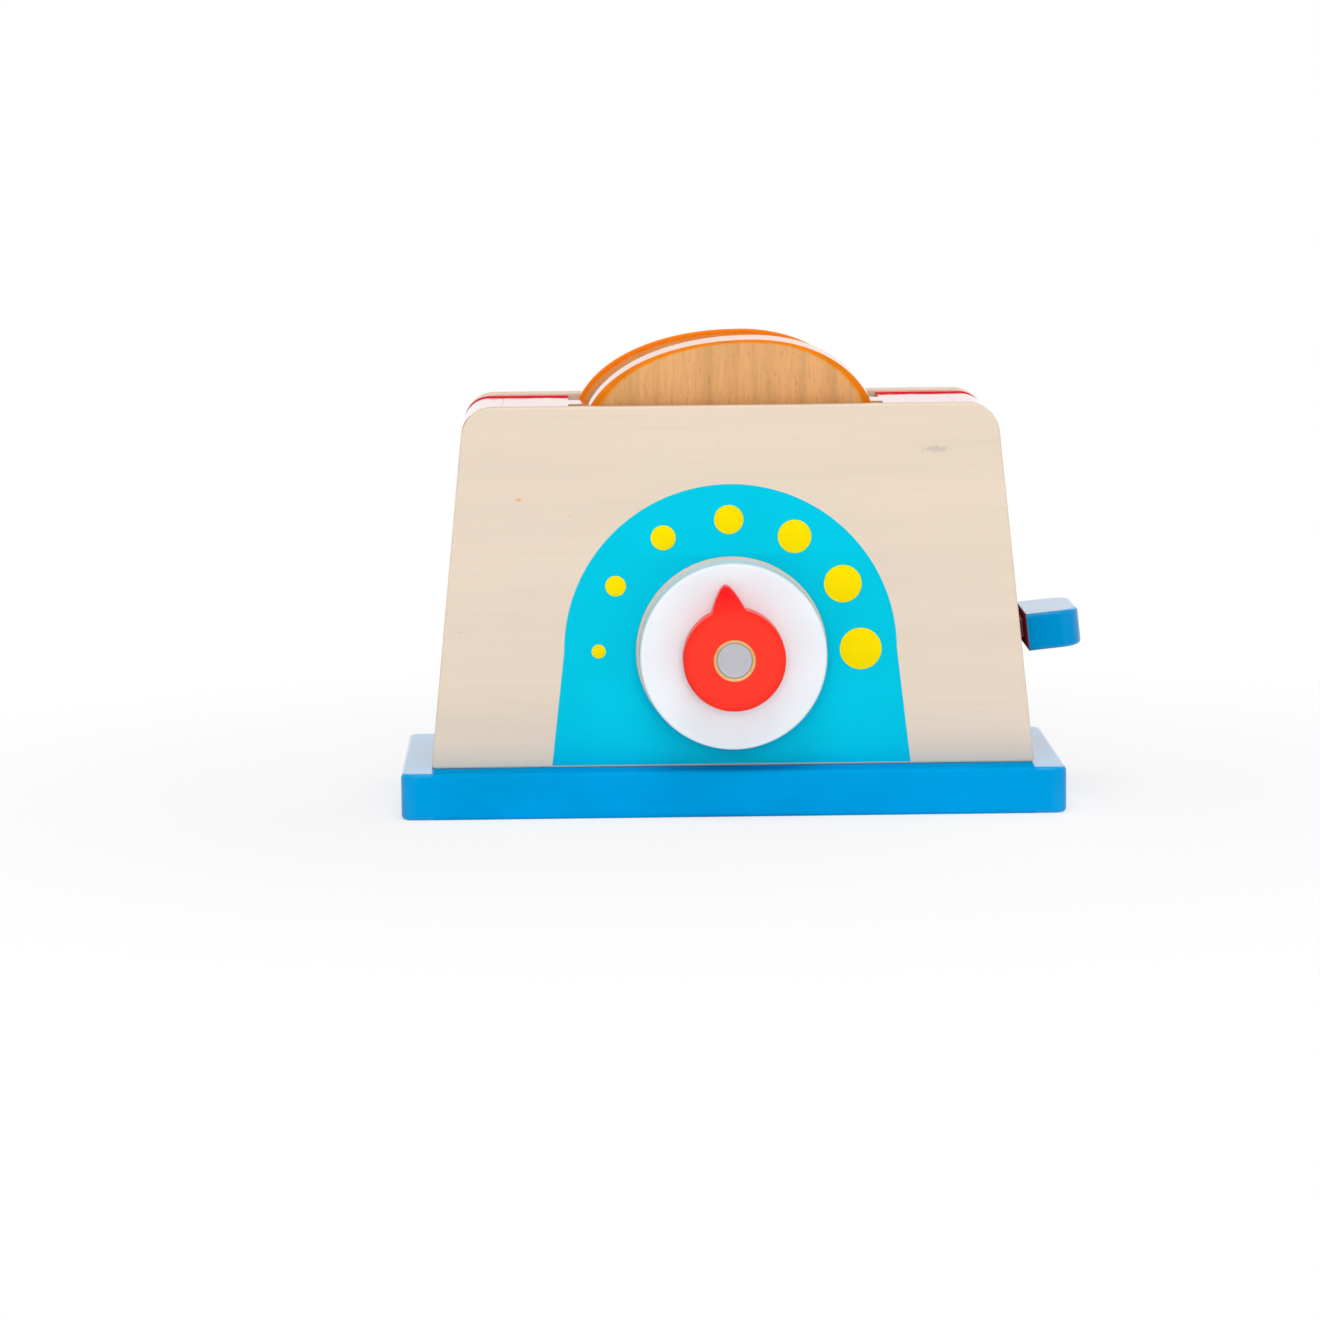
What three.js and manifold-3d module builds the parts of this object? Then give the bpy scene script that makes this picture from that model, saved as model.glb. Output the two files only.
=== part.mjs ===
// A wooden toy toaster: a flared body on a blue base, a pop-up carriage worked by a side
// lever, two bread slices standing in the slots and a dial with a turning knob.
// Lengths are in millimetres, +Z is up and -Y is the front. The origin is the middle of
// the underside of the base.
import * as THREE from 'three';
import { mergeVertices } from 'three/addons/utils/BufferGeometryUtils.js';
import Module from 'manifold-3d';

const wasm = await Module();
wasm.setup();

// Base board
const base_length = 210.5;
const base_height = 14.8;
const base_corner_radius = 4;
const base_edge_rounding = 1.4;

// Flared body of two panels round a core, set back from the edges of the base
const base_end_rim = 9.5;
const base_side_rim = 11.5;
const body_side_taper = 11.7;
const body_height = 114.5;
const panel_thickness = 6;
const panel_corner_radius = 10;
const panel_edge_rounding = 0.7;
const core_top_drop = 1;
const core_corner_radius = 8;
const side_wall_thickness = 12;
const top_board_thickness = 8;

// Slots in the top, and the board between them
const slot_end_room = 33.85;
const slot_bridge_width = 17;
const slot_offset = -0.8;
const divider_thickness = 6;
const divider_end_clearance = 2.2;

// Bread slices, as wide as the slots less a clearance
const slice_thickness = 12;
const slice_end_clearance = 3.2;
const slice_side_room = 9;
const slice_foot_taper = 2.7;
const slice_height = 96.5;
const slice_dome_height = 31.4;
const slice_dome_shift = 7.1;
const slice_foot_radius = 6;
const slice_edge_rounding = 1;
const front_slice_shift = 0.9;
const front_slice_lean = THREE.MathUtils.degToRad(5);
const back_slice_shift = -1.85;
const back_slice_lean = THREE.MathUtils.degToRad(3);
const slice_panel_clearance = 0.6;
const dome_power = 2.1;

// Carriage and its guides
const shelf_top_height = 53;
const shelf_lowest_rise = 14.2;
const shelf_thickness = 6;
const shelf_panel_clearance = 5.5;
const shelf_divider_clearance = 3;
const rod_radius = 3;
const rod_socket_depth = 6;
const bush_wall = 1.7;
const bush_flange_width = 1.6;
const bush_flange_thickness = 2;
const bar_wall = 2;
const spring_rod_clearance = 0.9;
const spring_wire_radius = 0.5;
const spring_turns = 5.5;

// Lever
const lever_above_shelf = 1.05;
const lever_knob_length = 17.5;
const lever_knob_depth = 37;
const lever_knob_thickness = 12;
const lever_knob_corner_radius = 7;
const lever_knob_inner_radius = 2;
const lever_knob_rounding = 1.4;
const lever_wall_clearance = 0.8;
const stem_width = 10;
const stem_thickness = 6;
const stem_in_knob = 10;
const stem_in_block = 9;
const stem_slot_clearance = 0.8;
const block_length = 12;
const block_height = 14;
const block_wall_clearance = 4.8;
const block_screw_clearance = 2.5;
const block_screw_cover = 2.5;

// Dial
const dial_rise = 36.5;
const dial_plate_radius = 29.5;
const dial_plate_thickness = 14;
const dial_plate_rounding = 1;
const dial_knob_radius = 16.1;
const dial_knob_thickness = 9.6;
const dial_knob_rounding = 0.8;
const pointer_length = 7.1;
const pointer_half_width = 5.35;
const pointer_tip_drop = 3.6;
const pointer_angle = THREE.MathUtils.degToRad(6.5);
const pin_head_radius = 5.3;
const pin_head_thickness = 1.5;
const pin_head_clearance = 0.3;
const pin_head_sink = 0.2;
const pin_radius = 2.5;
const pin_tail = 0.8;
const retainer_radius = 5.5;
const retainer_thickness = 2.5;

// Screws
const base_screw_hold = 15;
const base_screw_radius = 1.75;
const base_screw_head_radius = 3.6;
const base_screw_head_height = 2.2;
const base_screw_edge = 11.5;
const small_screw_hold = 8;
const small_screw_radius = 1.2;
const small_screw_head_radius = 2.1;
const small_screw_head_height = 1.2;

// Clearances: between pieces that fit into each other, and at a glued sloping joint
const fit_gap = 0.3;
const glue_gap = 0.1;
// How far a cutting solid runs past the face that it cuts
const overrun = 2;

// Counts of flat faces; an arc gets twice its count
const arc_segments = 3;
const knob_segments = 16;
const edge_segments = 2;
const round_segments = 48;
const rod_segments = 16;
const screw_segments = 12;
const dome_segments = 24;
const spring_steps_per_turn = 8;
const spring_sides = 5;

// Sizes and places worked out from those above. In length the body follows the base, and the
// slots and slices follow the body; in depth the slots, body and base follow the slices.
const body_bottom_width = base_length - 2 * base_end_rim;
const body_top_width = body_bottom_width - 2 * body_side_taper;
const slot_length = body_top_width - 2 * slot_end_room;
const slice_width = slot_length - 2 * slice_end_clearance;
const slot_depth = slice_thickness + slice_side_room;
const core_depth = 2 * slot_depth + slot_bridge_width;
const core_half_depth = core_depth / 2;
const body_depth = core_depth + 2 * panel_thickness;
const base_depth = body_depth + 2 * base_side_rim;
const side_lean = Math.atan2((body_bottom_width - body_top_width) / 2, body_height);
const core_height = body_height - core_top_drop;
const core_top = base_height + core_height;
const top_board_underside = core_top - top_board_thickness;
const wall_run = side_wall_thickness / Math.cos(side_lean);
const carriage_travel = shelf_top_height - base_height - shelf_lowest_rise;
const shelf_underside = shelf_top_height - shelf_thickness;
const shelf_middle_height = shelf_top_height - shelf_thickness / 2;
const shelf_inner = divider_thickness / 2 + shelf_divider_clearance;
const shelf_outer = core_half_depth - shelf_panel_clearance;
const shelf_place = (shelf_inner + shelf_outer) / 2;
const bush_radius = rod_radius + fit_gap + bush_wall;
const bush_flange_radius = bush_radius + bush_flange_width;
const spring_radius = rod_radius + spring_rod_clearance + spring_wire_radius;
const cross_bar_width = 2 * (bush_radius + bar_wall);
const small_screw_length = cross_bar_width + small_screw_hold;
const base_screw_length = base_height + base_screw_hold;
const base_screw_place = core_half_depth - base_screw_edge;
const block_screw_spacing = stem_width + 2 * block_screw_clearance;
const block_width = block_screw_spacing + 2 * block_screw_cover;
const dial_height = base_height + dial_rise;
const dial_plate_front = body_depth / 2 + dial_plate_thickness;
const dial_knob_front = dial_plate_front + fit_gap + dial_knob_thickness;
const pointer_reach = dial_knob_radius + pointer_length;
const counterbore_radius = pin_head_radius + pin_head_clearance;
const counterbore_depth = pin_head_thickness + fit_gap + pin_head_sink;

// Half the width of the flared body at a height above the base board
function halfWidthAt(rise) {
  return body_bottom_width / 2 - rise * Math.tan(side_lean);
}

// The carriage ends in a block that keeps its clearance to the leaning right wall
const lever_rise = shelf_top_height - base_height + lever_above_shelf;
const block_end = halfWidthAt(lever_rise) - wall_run - block_wall_clearance;
const bar_outer = block_end - block_length;
const bar_inner = bar_outer - cross_bar_width;
const rod_place = (bar_inner + bar_outer) / 2;

// The knob keeps its clearance to the wall, which flares out, at the lowest place of the lever
const lever_gap = lever_wall_clearance + carriage_travel * Math.tan(side_lean);
const lever_face = halfWidthAt(lever_rise) + lever_gap;
const lever_height = base_height + lever_rise;
const block_middle_height = lever_height - (lever_face - bar_outer - block_length / 2) * Math.tan(side_lean);
const stem_inner_end = block_end - stem_in_block;

// Makes a solid that can be cut from a closed geometry
function solidOf(geometry) {
  const bare = geometry.clone();
  bare.deleteAttribute('normal');
  bare.deleteAttribute('uv');
  const merged = mergeVertices(bare);
  const vertProperties = new Float32Array(merged.attributes.position.array);
  const triVerts = new Uint32Array(merged.index.array);
  return new wasm.Manifold(new wasm.Mesh({ numProp: 3, vertProperties, triVerts }));
}

function geometryOf(solid) {
  const mesh = solid.getMesh();
  const geometry = new THREE.BufferGeometry();
  geometry.setAttribute('position', new THREE.BufferAttribute(mesh.vertProperties, 3));
  geometry.setIndex(new THREE.BufferAttribute(mesh.triVerts, 1));
  geometry.computeVertexNormals();
  return geometry;
}

function cut(geometry, tools) {
  let solid = solidOf(geometry);
  for (const tool of tools) solid = solid.subtract(solidOf(tool));
  return geometryOf(solid);
}

// A block given by its lowest and highest corner
function block(x0, x1, y0, y1, z0, z1) {
  const geometry = new THREE.BoxGeometry(x1 - x0, y1 - y0, z1 - z0);
  geometry.translate((x0 + x1) / 2, (y0 + y1) / 2, (z0 + z1) / 2);
  return geometry;
}

// An upright round bar from one height to another
function roundBar(radius, x, y, z0, z1, segments) {
  const geometry = new THREE.CylinderGeometry(radius, radius, z1 - z0, segments);
  geometry.rotateX(Math.PI / 2);
  geometry.translate(x, y, (z0 + z1) / 2);
  return geometry;
}

// A round bar that lies along Y, from one depth to another
function deepBar(radius, y0, y1, z, segments) {
  const geometry = new THREE.CylinderGeometry(radius, radius, y1 - y0, segments);
  geometry.translate(0, (y0 + y1) / 2, z);
  return geometry;
}

// A shape extruded upwards from z = 0, its edges rounded inside its outline
function rounded(shape, height, rounding) {
  return new THREE.ExtrudeGeometry(shape, {
    depth: height - 2 * rounding,
    bevelThickness: rounding,
    bevelSize: rounding,
    bevelOffset: -rounding,
    bevelSegments: edge_segments,
    curveSegments: arc_segments,
  }).translate(0, 0, rounding);
}

// Turns an extrusion so that its outline stands in XZ and its height runs from y1 to the front
function standUp(geometry, y1) {
  return geometry.rotateX(Math.PI / 2).translate(0, y1, 0);
}

function plainExtrusion(shape, height) {
  return new THREE.ExtrudeGeometry(shape, {
    depth: height,
    bevelEnabled: false,
    curveSegments: arc_segments,
  });
}

// Rectangle round the origin with its own radius for the corners at +X and at -X
function roundedRectangle(length, depth, right_radius, left_radius) {
  const half_x = length / 2;
  const half_y = depth / 2;
  const shape = new THREE.Shape();
  shape.absarc(half_x - right_radius, half_y - right_radius, right_radius, 0, Math.PI / 2);
  shape.absarc(-half_x + left_radius, half_y - left_radius, left_radius, Math.PI / 2, Math.PI);
  shape.absarc(-half_x + left_radius, -half_y + left_radius, left_radius, Math.PI, 1.5 * Math.PI);
  shape.absarc(half_x - right_radius, -half_y + right_radius, right_radius, 1.5 * Math.PI, 2 * Math.PI);
  return shape;
}

// Countersunk screw that points up, its head face at z = 0. A clearance makes its hole, which
// runs out below the head.
function screw(radius, length, head_radius, head_height, clearance) {
  const point = radius + clearance;
  const low = clearance > 0 ? -overrun : 0;
  const profile = [
    new THREE.Vector2(0, low),
    new THREE.Vector2(head_radius + clearance, low),
    new THREE.Vector2(head_radius + clearance, 0),
    new THREE.Vector2(point, head_height),
    new THREE.Vector2(point, length - radius + clearance),
    new THREE.Vector2(0, length + clearance),
  ];
  return new THREE.LatheGeometry(profile, screw_segments).rotateX(Math.PI / 2);
}

function baseScrews(clearance) {
  const screws = [];
  for (const side of [-1, 1]) {
    for (const row of [-1, 1]) {
      const place = side * (halfWidthAt(0) - wall_run / 2);
      const body = screw(
        base_screw_radius,
        base_screw_length,
        base_screw_head_radius,
        base_screw_head_height,
        clearance,
      );
      screws.push(body.translate(place, row * base_screw_place, fit_gap));
    }
  }
  return screws;
}

function smallScrew(clearance) {
  return screw(
    small_screw_radius,
    small_screw_length,
    small_screw_head_radius,
    small_screw_head_height,
    clearance,
  );
}

// Four screws inwards through the cross bars into the shelf ends
function shelfScrews(clearance) {
  const screws = [];
  for (const side of [-1, 1]) {
    for (const row of [-1, 1]) {
      const inward = smallScrew(clearance).rotateY((-side * Math.PI) / 2);
      screws.push(inward.translate(side * (bar_outer - fit_gap), row * shelf_place, shelf_middle_height));
    }
  }
  return screws;
}

// Two screws outwards through the right cross bar into the block
function blockScrews(clearance) {
  return [-1, 1].map((row) => {
    const outward = smallScrew(clearance).rotateY(Math.PI / 2);
    return outward.translate(bar_inner + fit_gap, (row * block_screw_spacing) / 2, shelf_middle_height);
  });
}

// Base board, rounded all round, with sockets for the guide rods and countersunk screw holes
function baseBoard() {
  const shape = roundedRectangle(base_length, base_depth, base_corner_radius, base_corner_radius);
  const sockets = [-rod_place, rod_place].map((x) => roundBar(
    rod_radius + fit_gap,
    x,
    0,
    base_height - rod_socket_depth,
    base_height + overrun,
    rod_segments,
  ));
  return cut(rounded(shape, base_height, base_edge_rounding), [...sockets, ...baseScrews(fit_gap)]);
}

// Panel: a flared outline with straight foot corners and round top corners
function panel(y1) {
  const radius = panel_corner_radius;
  const arc_x = halfWidthAt(body_height - radius) - radius / Math.cos(side_lean);
  const shape = new THREE.Shape();
  shape.moveTo(-halfWidthAt(0), 0);
  shape.lineTo(halfWidthAt(0), 0);
  shape.absarc(arc_x, body_height - radius, radius, side_lean, Math.PI / 2);
  shape.absarc(-arc_x, body_height - radius, radius, Math.PI / 2, Math.PI - side_lean);
  const board = rounded(shape, panel_thickness, panel_edge_rounding);
  return standUp(board, y1).translate(0, 0, base_height);
}

function frontPanel() {
  const bore = deepBar(
    pin_radius + fit_gap,
    -body_depth / 2 - overrun,
    -core_half_depth + overrun,
    dial_height,
    rod_segments,
  );
  return cut(panel(-core_half_depth), [bore]);
}

// Side wall: it leans with the panels, and its top follows their round corner
function sideWall(side) {
  const radius = core_corner_radius;
  const arc_x = halfWidthAt(core_height - radius) - radius / Math.cos(side_lean);
  const shape = new THREE.Shape();
  shape.moveTo(side * (halfWidthAt(0) - wall_run), 0);
  shape.lineTo(side * halfWidthAt(0), 0);
  const start = side > 0 ? side_lean : Math.PI - side_lean;
  shape.absarc(side * arc_x, core_height - radius, radius, start, Math.PI / 2, side < 0);
  shape.lineTo(side * (halfWidthAt(core_height) - wall_run), core_height);
  return standUp(plainExtrusion(shape, core_depth), core_half_depth).translate(0, 0, base_height);
}

// The lever's slot is as high as the sloping stem needs over its whole travel
function rightSideWall() {
  const middle = halfWidthAt(lever_rise) - wall_run / 2;
  const stem_height = lever_height - (lever_face - middle) * Math.tan(side_lean);
  const slope_room = wall_run * Math.tan(side_lean);
  const half_height = stem_thickness / 2 + stem_slot_clearance + slope_room;
  const half_width = stem_width / 2 + stem_slot_clearance;
  const slot = block(
    halfWidthAt(body_height) - wall_run - overrun,
    halfWidthAt(0) + overrun,
    -half_width,
    half_width,
    stem_height - carriage_travel - half_height,
    stem_height + half_height,
  );
  return cut(sideWall(1), [slot, ...baseScrews(fit_gap)]);
}

function leftSideWall() {
  return cut(sideWall(-1), baseScrews(fit_gap));
}

// Top board between the walls: sloping ends, a notch on each long side, sockets for the rods
function topBoard() {
  const end = wall_run + glue_gap;
  const low = core_height - top_board_thickness;
  const shape = new THREE.Shape();
  shape.moveTo(-halfWidthAt(low) + end, low);
  shape.lineTo(halfWidthAt(low) - end, low);
  shape.lineTo(halfWidthAt(core_height) - end, core_height);
  shape.lineTo(-halfWidthAt(core_height) + end, core_height);
  const board = standUp(plainExtrusion(shape, core_depth), core_half_depth).translate(0, 0, base_height);
  const tools = [];
  for (const side of [-1, 1]) {
    const inner = side * (core_half_depth - slot_depth);
    const outer = side * (core_half_depth + overrun);
    tools.push(block(
      slot_offset - slot_length / 2,
      slot_offset + slot_length / 2,
      Math.min(inner, outer),
      Math.max(inner, outer),
      top_board_underside - overrun,
      core_top + overrun,
    ));
    tools.push(roundBar(
      rod_radius + fit_gap,
      side * rod_place,
      0,
      top_board_underside - overrun,
      top_board_underside + top_board_thickness / 2,
      rod_segments,
    ));
  }
  return cut(board, tools);
}

function slotDivider() {
  const half_length = bar_inner - divider_end_clearance;
  const half = divider_thickness / 2;
  return block(-half_length, half_length, -half, half, base_height, top_board_underside);
}

function guideRod(side) {
  const foot = base_height - rod_socket_depth + fit_gap;
  const head = top_board_underside + top_board_thickness / 2 - fit_gap;
  return roundBar(rod_radius, side * rod_place, 0, foot, head, rod_segments);
}

// Middle line of a lift spring, from just above the base board to just under the bush
class SpringLine extends THREE.Curve {
  constructor(x) {
    super();
    this.x = x;
    this.low = base_height + spring_wire_radius + fit_gap;
    this.high = shelf_underside - spring_wire_radius - fit_gap;
  }

  getPoint(t, target = new THREE.Vector3()) {
    const angle = 2 * Math.PI * spring_turns * t;
    const x = this.x + spring_radius * Math.cos(angle);
    return target.set(x, spring_radius * Math.sin(angle), this.low + (this.high - this.low) * t);
  }
}

function liftSpring(side) {
  const section = new THREE.Shape();
  for (let i = 0; i < spring_sides; i += 1) {
    const angle = (i / spring_sides) * 2 * Math.PI;
    section.lineTo(spring_wire_radius * Math.cos(angle), spring_wire_radius * Math.sin(angle));
  }
  return new THREE.ExtrudeGeometry(section, {
    steps: Math.round(spring_steps_per_turn * spring_turns),
    extrudePath: new SpringLine(side * rod_place),
  });
}

// Least gap between the turns of a lift spring, measured between points half a turn or more apart
function springGap() {
  const count = Math.round(spring_steps_per_turn * spring_turns);
  const points = new SpringLine(0).getPoints(count);
  let least = Infinity;
  for (let i = 0; i < points.length; i += 1) {
    for (let j = i + spring_steps_per_turn / 2; j < points.length; j += 1) {
      least = Math.min(least, points[i].distanceTo(points[j]));
    }
  }
  return least - 2 * spring_wire_radius;
}

// Shelf between the cross bars; the slices stand on it
function shelf(side) {
  const half_width = (shelf_outer - shelf_inner) / 2;
  const board = block(
    -bar_inner,
    bar_inner,
    side * shelf_place - half_width,
    side * shelf_place + half_width,
    shelf_underside,
    shelf_top_height,
  );
  return cut(board, shelfScrews(fit_gap));
}

function crossBar(side) {
  const middle = side * rod_place;
  const bar = block(
    middle - cross_bar_width / 2,
    middle + cross_bar_width / 2,
    -shelf_outer,
    shelf_outer,
    shelf_underside,
    shelf_top_height,
  );
  const bore = roundBar(
    bush_radius + fit_gap,
    middle,
    0,
    shelf_underside - overrun,
    shelf_top_height + overrun,
    rod_segments,
  );
  return cut(bar, [bore, ...shelfScrews(fit_gap), ...blockScrews(fit_gap)]);
}

// Flanged bush: a tube through the cross bar with a flange on top of it
function guideBush(side) {
  const bore = rod_radius + fit_gap;
  const flange_top = shelf_top_height + bush_flange_thickness;
  const profile = [
    new THREE.Vector2(bore, shelf_underside),
    new THREE.Vector2(bush_radius, shelf_underside),
    new THREE.Vector2(bush_radius, shelf_top_height),
    new THREE.Vector2(bush_flange_radius, shelf_top_height),
    new THREE.Vector2(bush_flange_radius, flange_top),
    new THREE.Vector2(bore, flange_top),
    new THREE.Vector2(bore, shelf_underside),
  ];
  return new THREE.LatheGeometry(profile, rod_segments)
    .rotateX(Math.PI / 2)
    .translate(side * rod_place, 0, 0);
}

// The lever's own frame: its origin is the middle of the knob's inner face, and it leans
// with the wall, so the knob's inner face lies parallel to the wall
function leverFrame() {
  const frame = new THREE.Group();
  frame.position.set(lever_face, 0, lever_height);
  frame.rotation.y = -side_lean;
  frame.updateMatrix();
  return frame;
}

// Flat stem from the block to inside the knob, in the lever's frame
function leverStem(clearance) {
  const inner = (stem_inner_end - lever_face) / Math.cos(side_lean);
  const half_width = stem_width / 2 + clearance;
  const half_height = stem_thickness / 2 + clearance;
  return block(
    inner - clearance,
    stem_in_knob + clearance,
    -half_width,
    half_width,
    -half_height,
    half_height,
  );
}

// Knob with round edges, cut square at its inner end
function leverKnob() {
  const shape = roundedRectangle(
    lever_knob_length + lever_knob_rounding,
    lever_knob_depth,
    lever_knob_corner_radius,
    lever_knob_inner_radius,
  );
  const body = rounded(shape, lever_knob_thickness, lever_knob_rounding);
  body.translate((lever_knob_length - lever_knob_rounding) / 2, 0, -lever_knob_thickness / 2);
  const inner_end = block(
    -lever_knob_rounding - overrun,
    0,
    -lever_knob_depth,
    lever_knob_depth,
    -lever_knob_thickness,
    lever_knob_thickness,
  );
  return cut(body, [inner_end, leverStem(fit_gap)]);
}

function stemBlock() {
  const body = block(
    bar_outer,
    block_end,
    -block_width / 2,
    block_width / 2,
    block_middle_height - block_height / 2,
    block_middle_height + block_height / 2,
  );
  const mortise = leverStem(fit_gap).applyMatrix4(leverFrame().matrix);
  return cut(body, [mortise, ...blockScrews(fit_gap)]);
}

// White disc on the front panel, its front edge rounded, with a bore for the pin
function dialPlate() {
  const bore = pin_radius + fit_gap;
  const profile = [
    new THREE.Vector2(bore, 0),
    new THREE.Vector2(dial_plate_radius, 0),
  ];
  for (let i = 0; i <= edge_segments + 1; i += 1) {
    const angle = (i / (edge_segments + 1)) * (Math.PI / 2);
    profile.push(new THREE.Vector2(
      dial_plate_radius - dial_plate_rounding * (1 - Math.cos(angle)),
      dial_plate_thickness - dial_plate_rounding * (1 - Math.sin(angle)),
    ));
  }
  profile.push(new THREE.Vector2(bore, dial_plate_thickness));
  profile.push(new THREE.Vector2(bore, 0));
  const disc = new THREE.LatheGeometry(profile, round_segments).rotateX(Math.PI);
  return disc.translate(0, -body_depth / 2, dial_height);
}

// Outline of the knob: a round disc with a bullet-shaped pointer upwards
function knobOutline() {
  const knee_width_share = 0.75;
  const knee_reach_share = 0.4;
  const tip_width_share = 0.32;
  const foot_angle = Math.acos(pointer_half_width / dial_knob_radius);
  const foot_height = dial_knob_radius * Math.sin(foot_angle);
  const knee_height = foot_height + knee_reach_share * (pointer_reach - foot_height);
  const knee = pointer_half_width * knee_width_share;
  const tip = pointer_half_width * tip_width_share;
  const shape = new THREE.Shape();
  shape.absarc(0, 0, dial_knob_radius, Math.PI - foot_angle, 2 * Math.PI + foot_angle);
  shape.bezierCurveTo(knee, knee_height, tip, pointer_reach, 0, pointer_reach);
  shape.bezierCurveTo(-tip, pointer_reach, -knee, knee_height, -pointer_half_width, foot_height);
  return shape;
}

// Knob in its own frame: its axis is Z, and its front face is at z = dial_knob_thickness.
// The pointer slopes back to its tip.
function dialKnob() {
  const body = new THREE.ExtrudeGeometry(knobOutline(), {
    depth: dial_knob_thickness - 2 * dial_knob_rounding,
    bevelThickness: dial_knob_rounding,
    bevelSize: dial_knob_rounding,
    bevelOffset: -dial_knob_rounding,
    bevelSegments: edge_segments,
    curveSegments: knob_segments,
  }).translate(0, 0, dial_knob_rounding);
  const slope = Math.atan2(pointer_tip_drop, pointer_length);
  const wedge = block(
    -pointer_reach,
    pointer_reach,
    0,
    pointer_reach,
    0,
    dial_knob_thickness,
  ).rotateX(-slope).translate(0, dial_knob_radius, dial_knob_thickness);
  const counterbore = roundBar(
    counterbore_radius,
    0,
    0,
    dial_knob_thickness - counterbore_depth,
    dial_knob_thickness + overrun,
    round_segments / 2,
  );
  const bore = roundBar(pin_radius + fit_gap, 0, 0, -overrun, dial_knob_thickness, rod_segments);
  return cut(body, [wedge, counterbore, bore])
    .rotateZ(pointer_angle)
    .rotateX(Math.PI / 2)
    .translate(0, -dial_plate_front - fit_gap, dial_height);
}

// Pin with a flat head in the knob's counterbore; its tail stands out inside the panel
function dialPin() {
  const seat = dial_knob_front - counterbore_depth + fit_gap;
  const tail = core_half_depth - retainer_thickness - pin_tail;
  const profile = [
    new THREE.Vector2(0, tail),
    new THREE.Vector2(pin_radius, tail),
    new THREE.Vector2(pin_radius, seat),
    new THREE.Vector2(pin_head_radius, seat),
    new THREE.Vector2(pin_head_radius, seat + pin_head_thickness),
    new THREE.Vector2(0, seat + pin_head_thickness),
  ];
  return new THREE.LatheGeometry(profile, round_segments / 2)
    .rotateX(Math.PI)
    .translate(0, 0, dial_height);
}

function dialRetainer() {
  const ring = deepBar(
    retainer_radius,
    -core_half_depth,
    -core_half_depth + retainer_thickness,
    dial_height,
    rod_segments,
  );
  const bore = deepBar(
    pin_radius + fit_gap,
    -core_half_depth - overrun,
    -core_half_depth + retainer_thickness + overrun,
    dial_height,
    rod_segments,
  );
  return cut(ring, [bore]);
}

// Bread slice in XZ with its foot at z = 0: tapered sides and a dome with its top off the middle
function sliceOutline() {
  const half = slice_width / 2;
  const foot = half - slice_foot_taper;
  const radius = slice_foot_radius;
  const shape = new THREE.Shape();
  shape.absarc(-foot + radius, radius, radius, Math.PI, 1.5 * Math.PI);
  shape.absarc(foot - radius, radius, radius, 1.5 * Math.PI, 2 * Math.PI);
  for (let i = 0; i <= dome_segments; i += 1) {
    const angle = (i / dome_segments) * Math.PI;
    const side = Math.sign(Math.cos(angle));
    const across = side * Math.abs(Math.cos(angle)) ** (2 / dome_power);
    const up = Math.sin(angle) ** (2 / dome_power);
    const x = slice_dome_shift + (half - side * slice_dome_shift) * across;
    shape.lineTo(x, slice_height - slice_dome_height * (1 - up));
  }
  return shape;
}

// The front slice leans forward on its front foot edge, the back slice leans back
function slice(y1) {
  return standUp(rounded(sliceOutline(), slice_thickness, slice_edge_rounding), y1);
}

const toaster = new THREE.Group();

function place(parent, name, geometry, color, roughness, metalness) {
  const mesh = new THREE.Mesh(geometry, new THREE.MeshStandardMaterial({ color, roughness, metalness }));
  mesh.name = name;
  parent.add(mesh);
  return mesh;
}

const plywood = [0xe8d8c7, 0.55, 0];
const bare_wood = [0xd9b98c, 0.6, 0];
const toasted_wood = [0xdea570, 0.5, 0];
const blue_paint = [0x0090d8, 0.25, 0];
const red_paint = [0xdc3c46, 0.25, 0];
const knob_red = [0xff4032, 0.35, 0];
const white_paint = [0xeeedf1, 0.35, 0];
const grey_plastic = [0xbebcc3, 0.45, 0];
const white_plastic = [0xe9e7e0, 0.5, 0];
const steel = [0xb8bbc0, 0.3, 1];

place(toaster, 'base_board', baseBoard(), ...blue_paint);
place(toaster, 'front_panel', frontPanel(), ...plywood);
place(toaster, 'back_panel', panel(body_depth / 2), ...plywood);
place(toaster, 'left_side_wall', leftSideWall(), ...red_paint);
place(toaster, 'right_side_wall', rightSideWall(), ...red_paint);
place(toaster, 'top_board', topBoard(), ...red_paint);
place(toaster, 'slot_divider', slotDivider(), ...bare_wood);
place(toaster, 'dial_plate', dialPlate(), ...white_paint);
place(toaster, 'dial_pin', dialPin(), ...grey_plastic);
place(toaster, 'dial_retainer', dialRetainer(), ...steel);
place(toaster, 'dial_knob', dialKnob(), ...knob_red);
place(toaster, 'stem_block', stemBlock(), ...bare_wood);

for (const [name, side] of [['left', -1], ['right', 1]]) {
  place(toaster, `${name}_guide_rod`, guideRod(side), ...bare_wood);
  place(toaster, `${name}_lift_spring`, liftSpring(side), ...steel);
  place(toaster, `${name}_cross_bar`, crossBar(side), ...bare_wood);
  place(toaster, `${name}_guide_bush`, guideBush(side), ...white_plastic);
}

for (const [name, side] of [['front', -1], ['back', 1]]) {
  place(toaster, `${name}_shelf`, shelf(side), ...bare_wood);
}

baseScrews(0).forEach((body, i) => place(toaster, `base_screw_${i + 1}`, body, ...steel));
const carriage_screws = [...shelfScrews(0), ...blockScrews(0)];
carriage_screws.forEach((body, i) => place(toaster, `carriage_screw_${i + 1}`, body, ...steel));

const lever = leverFrame();
toaster.add(lever);
place(lever, 'lever_stem', leverStem(0), ...bare_wood);
place(lever, 'lever_knob', leverKnob(), ...blue_paint);

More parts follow.
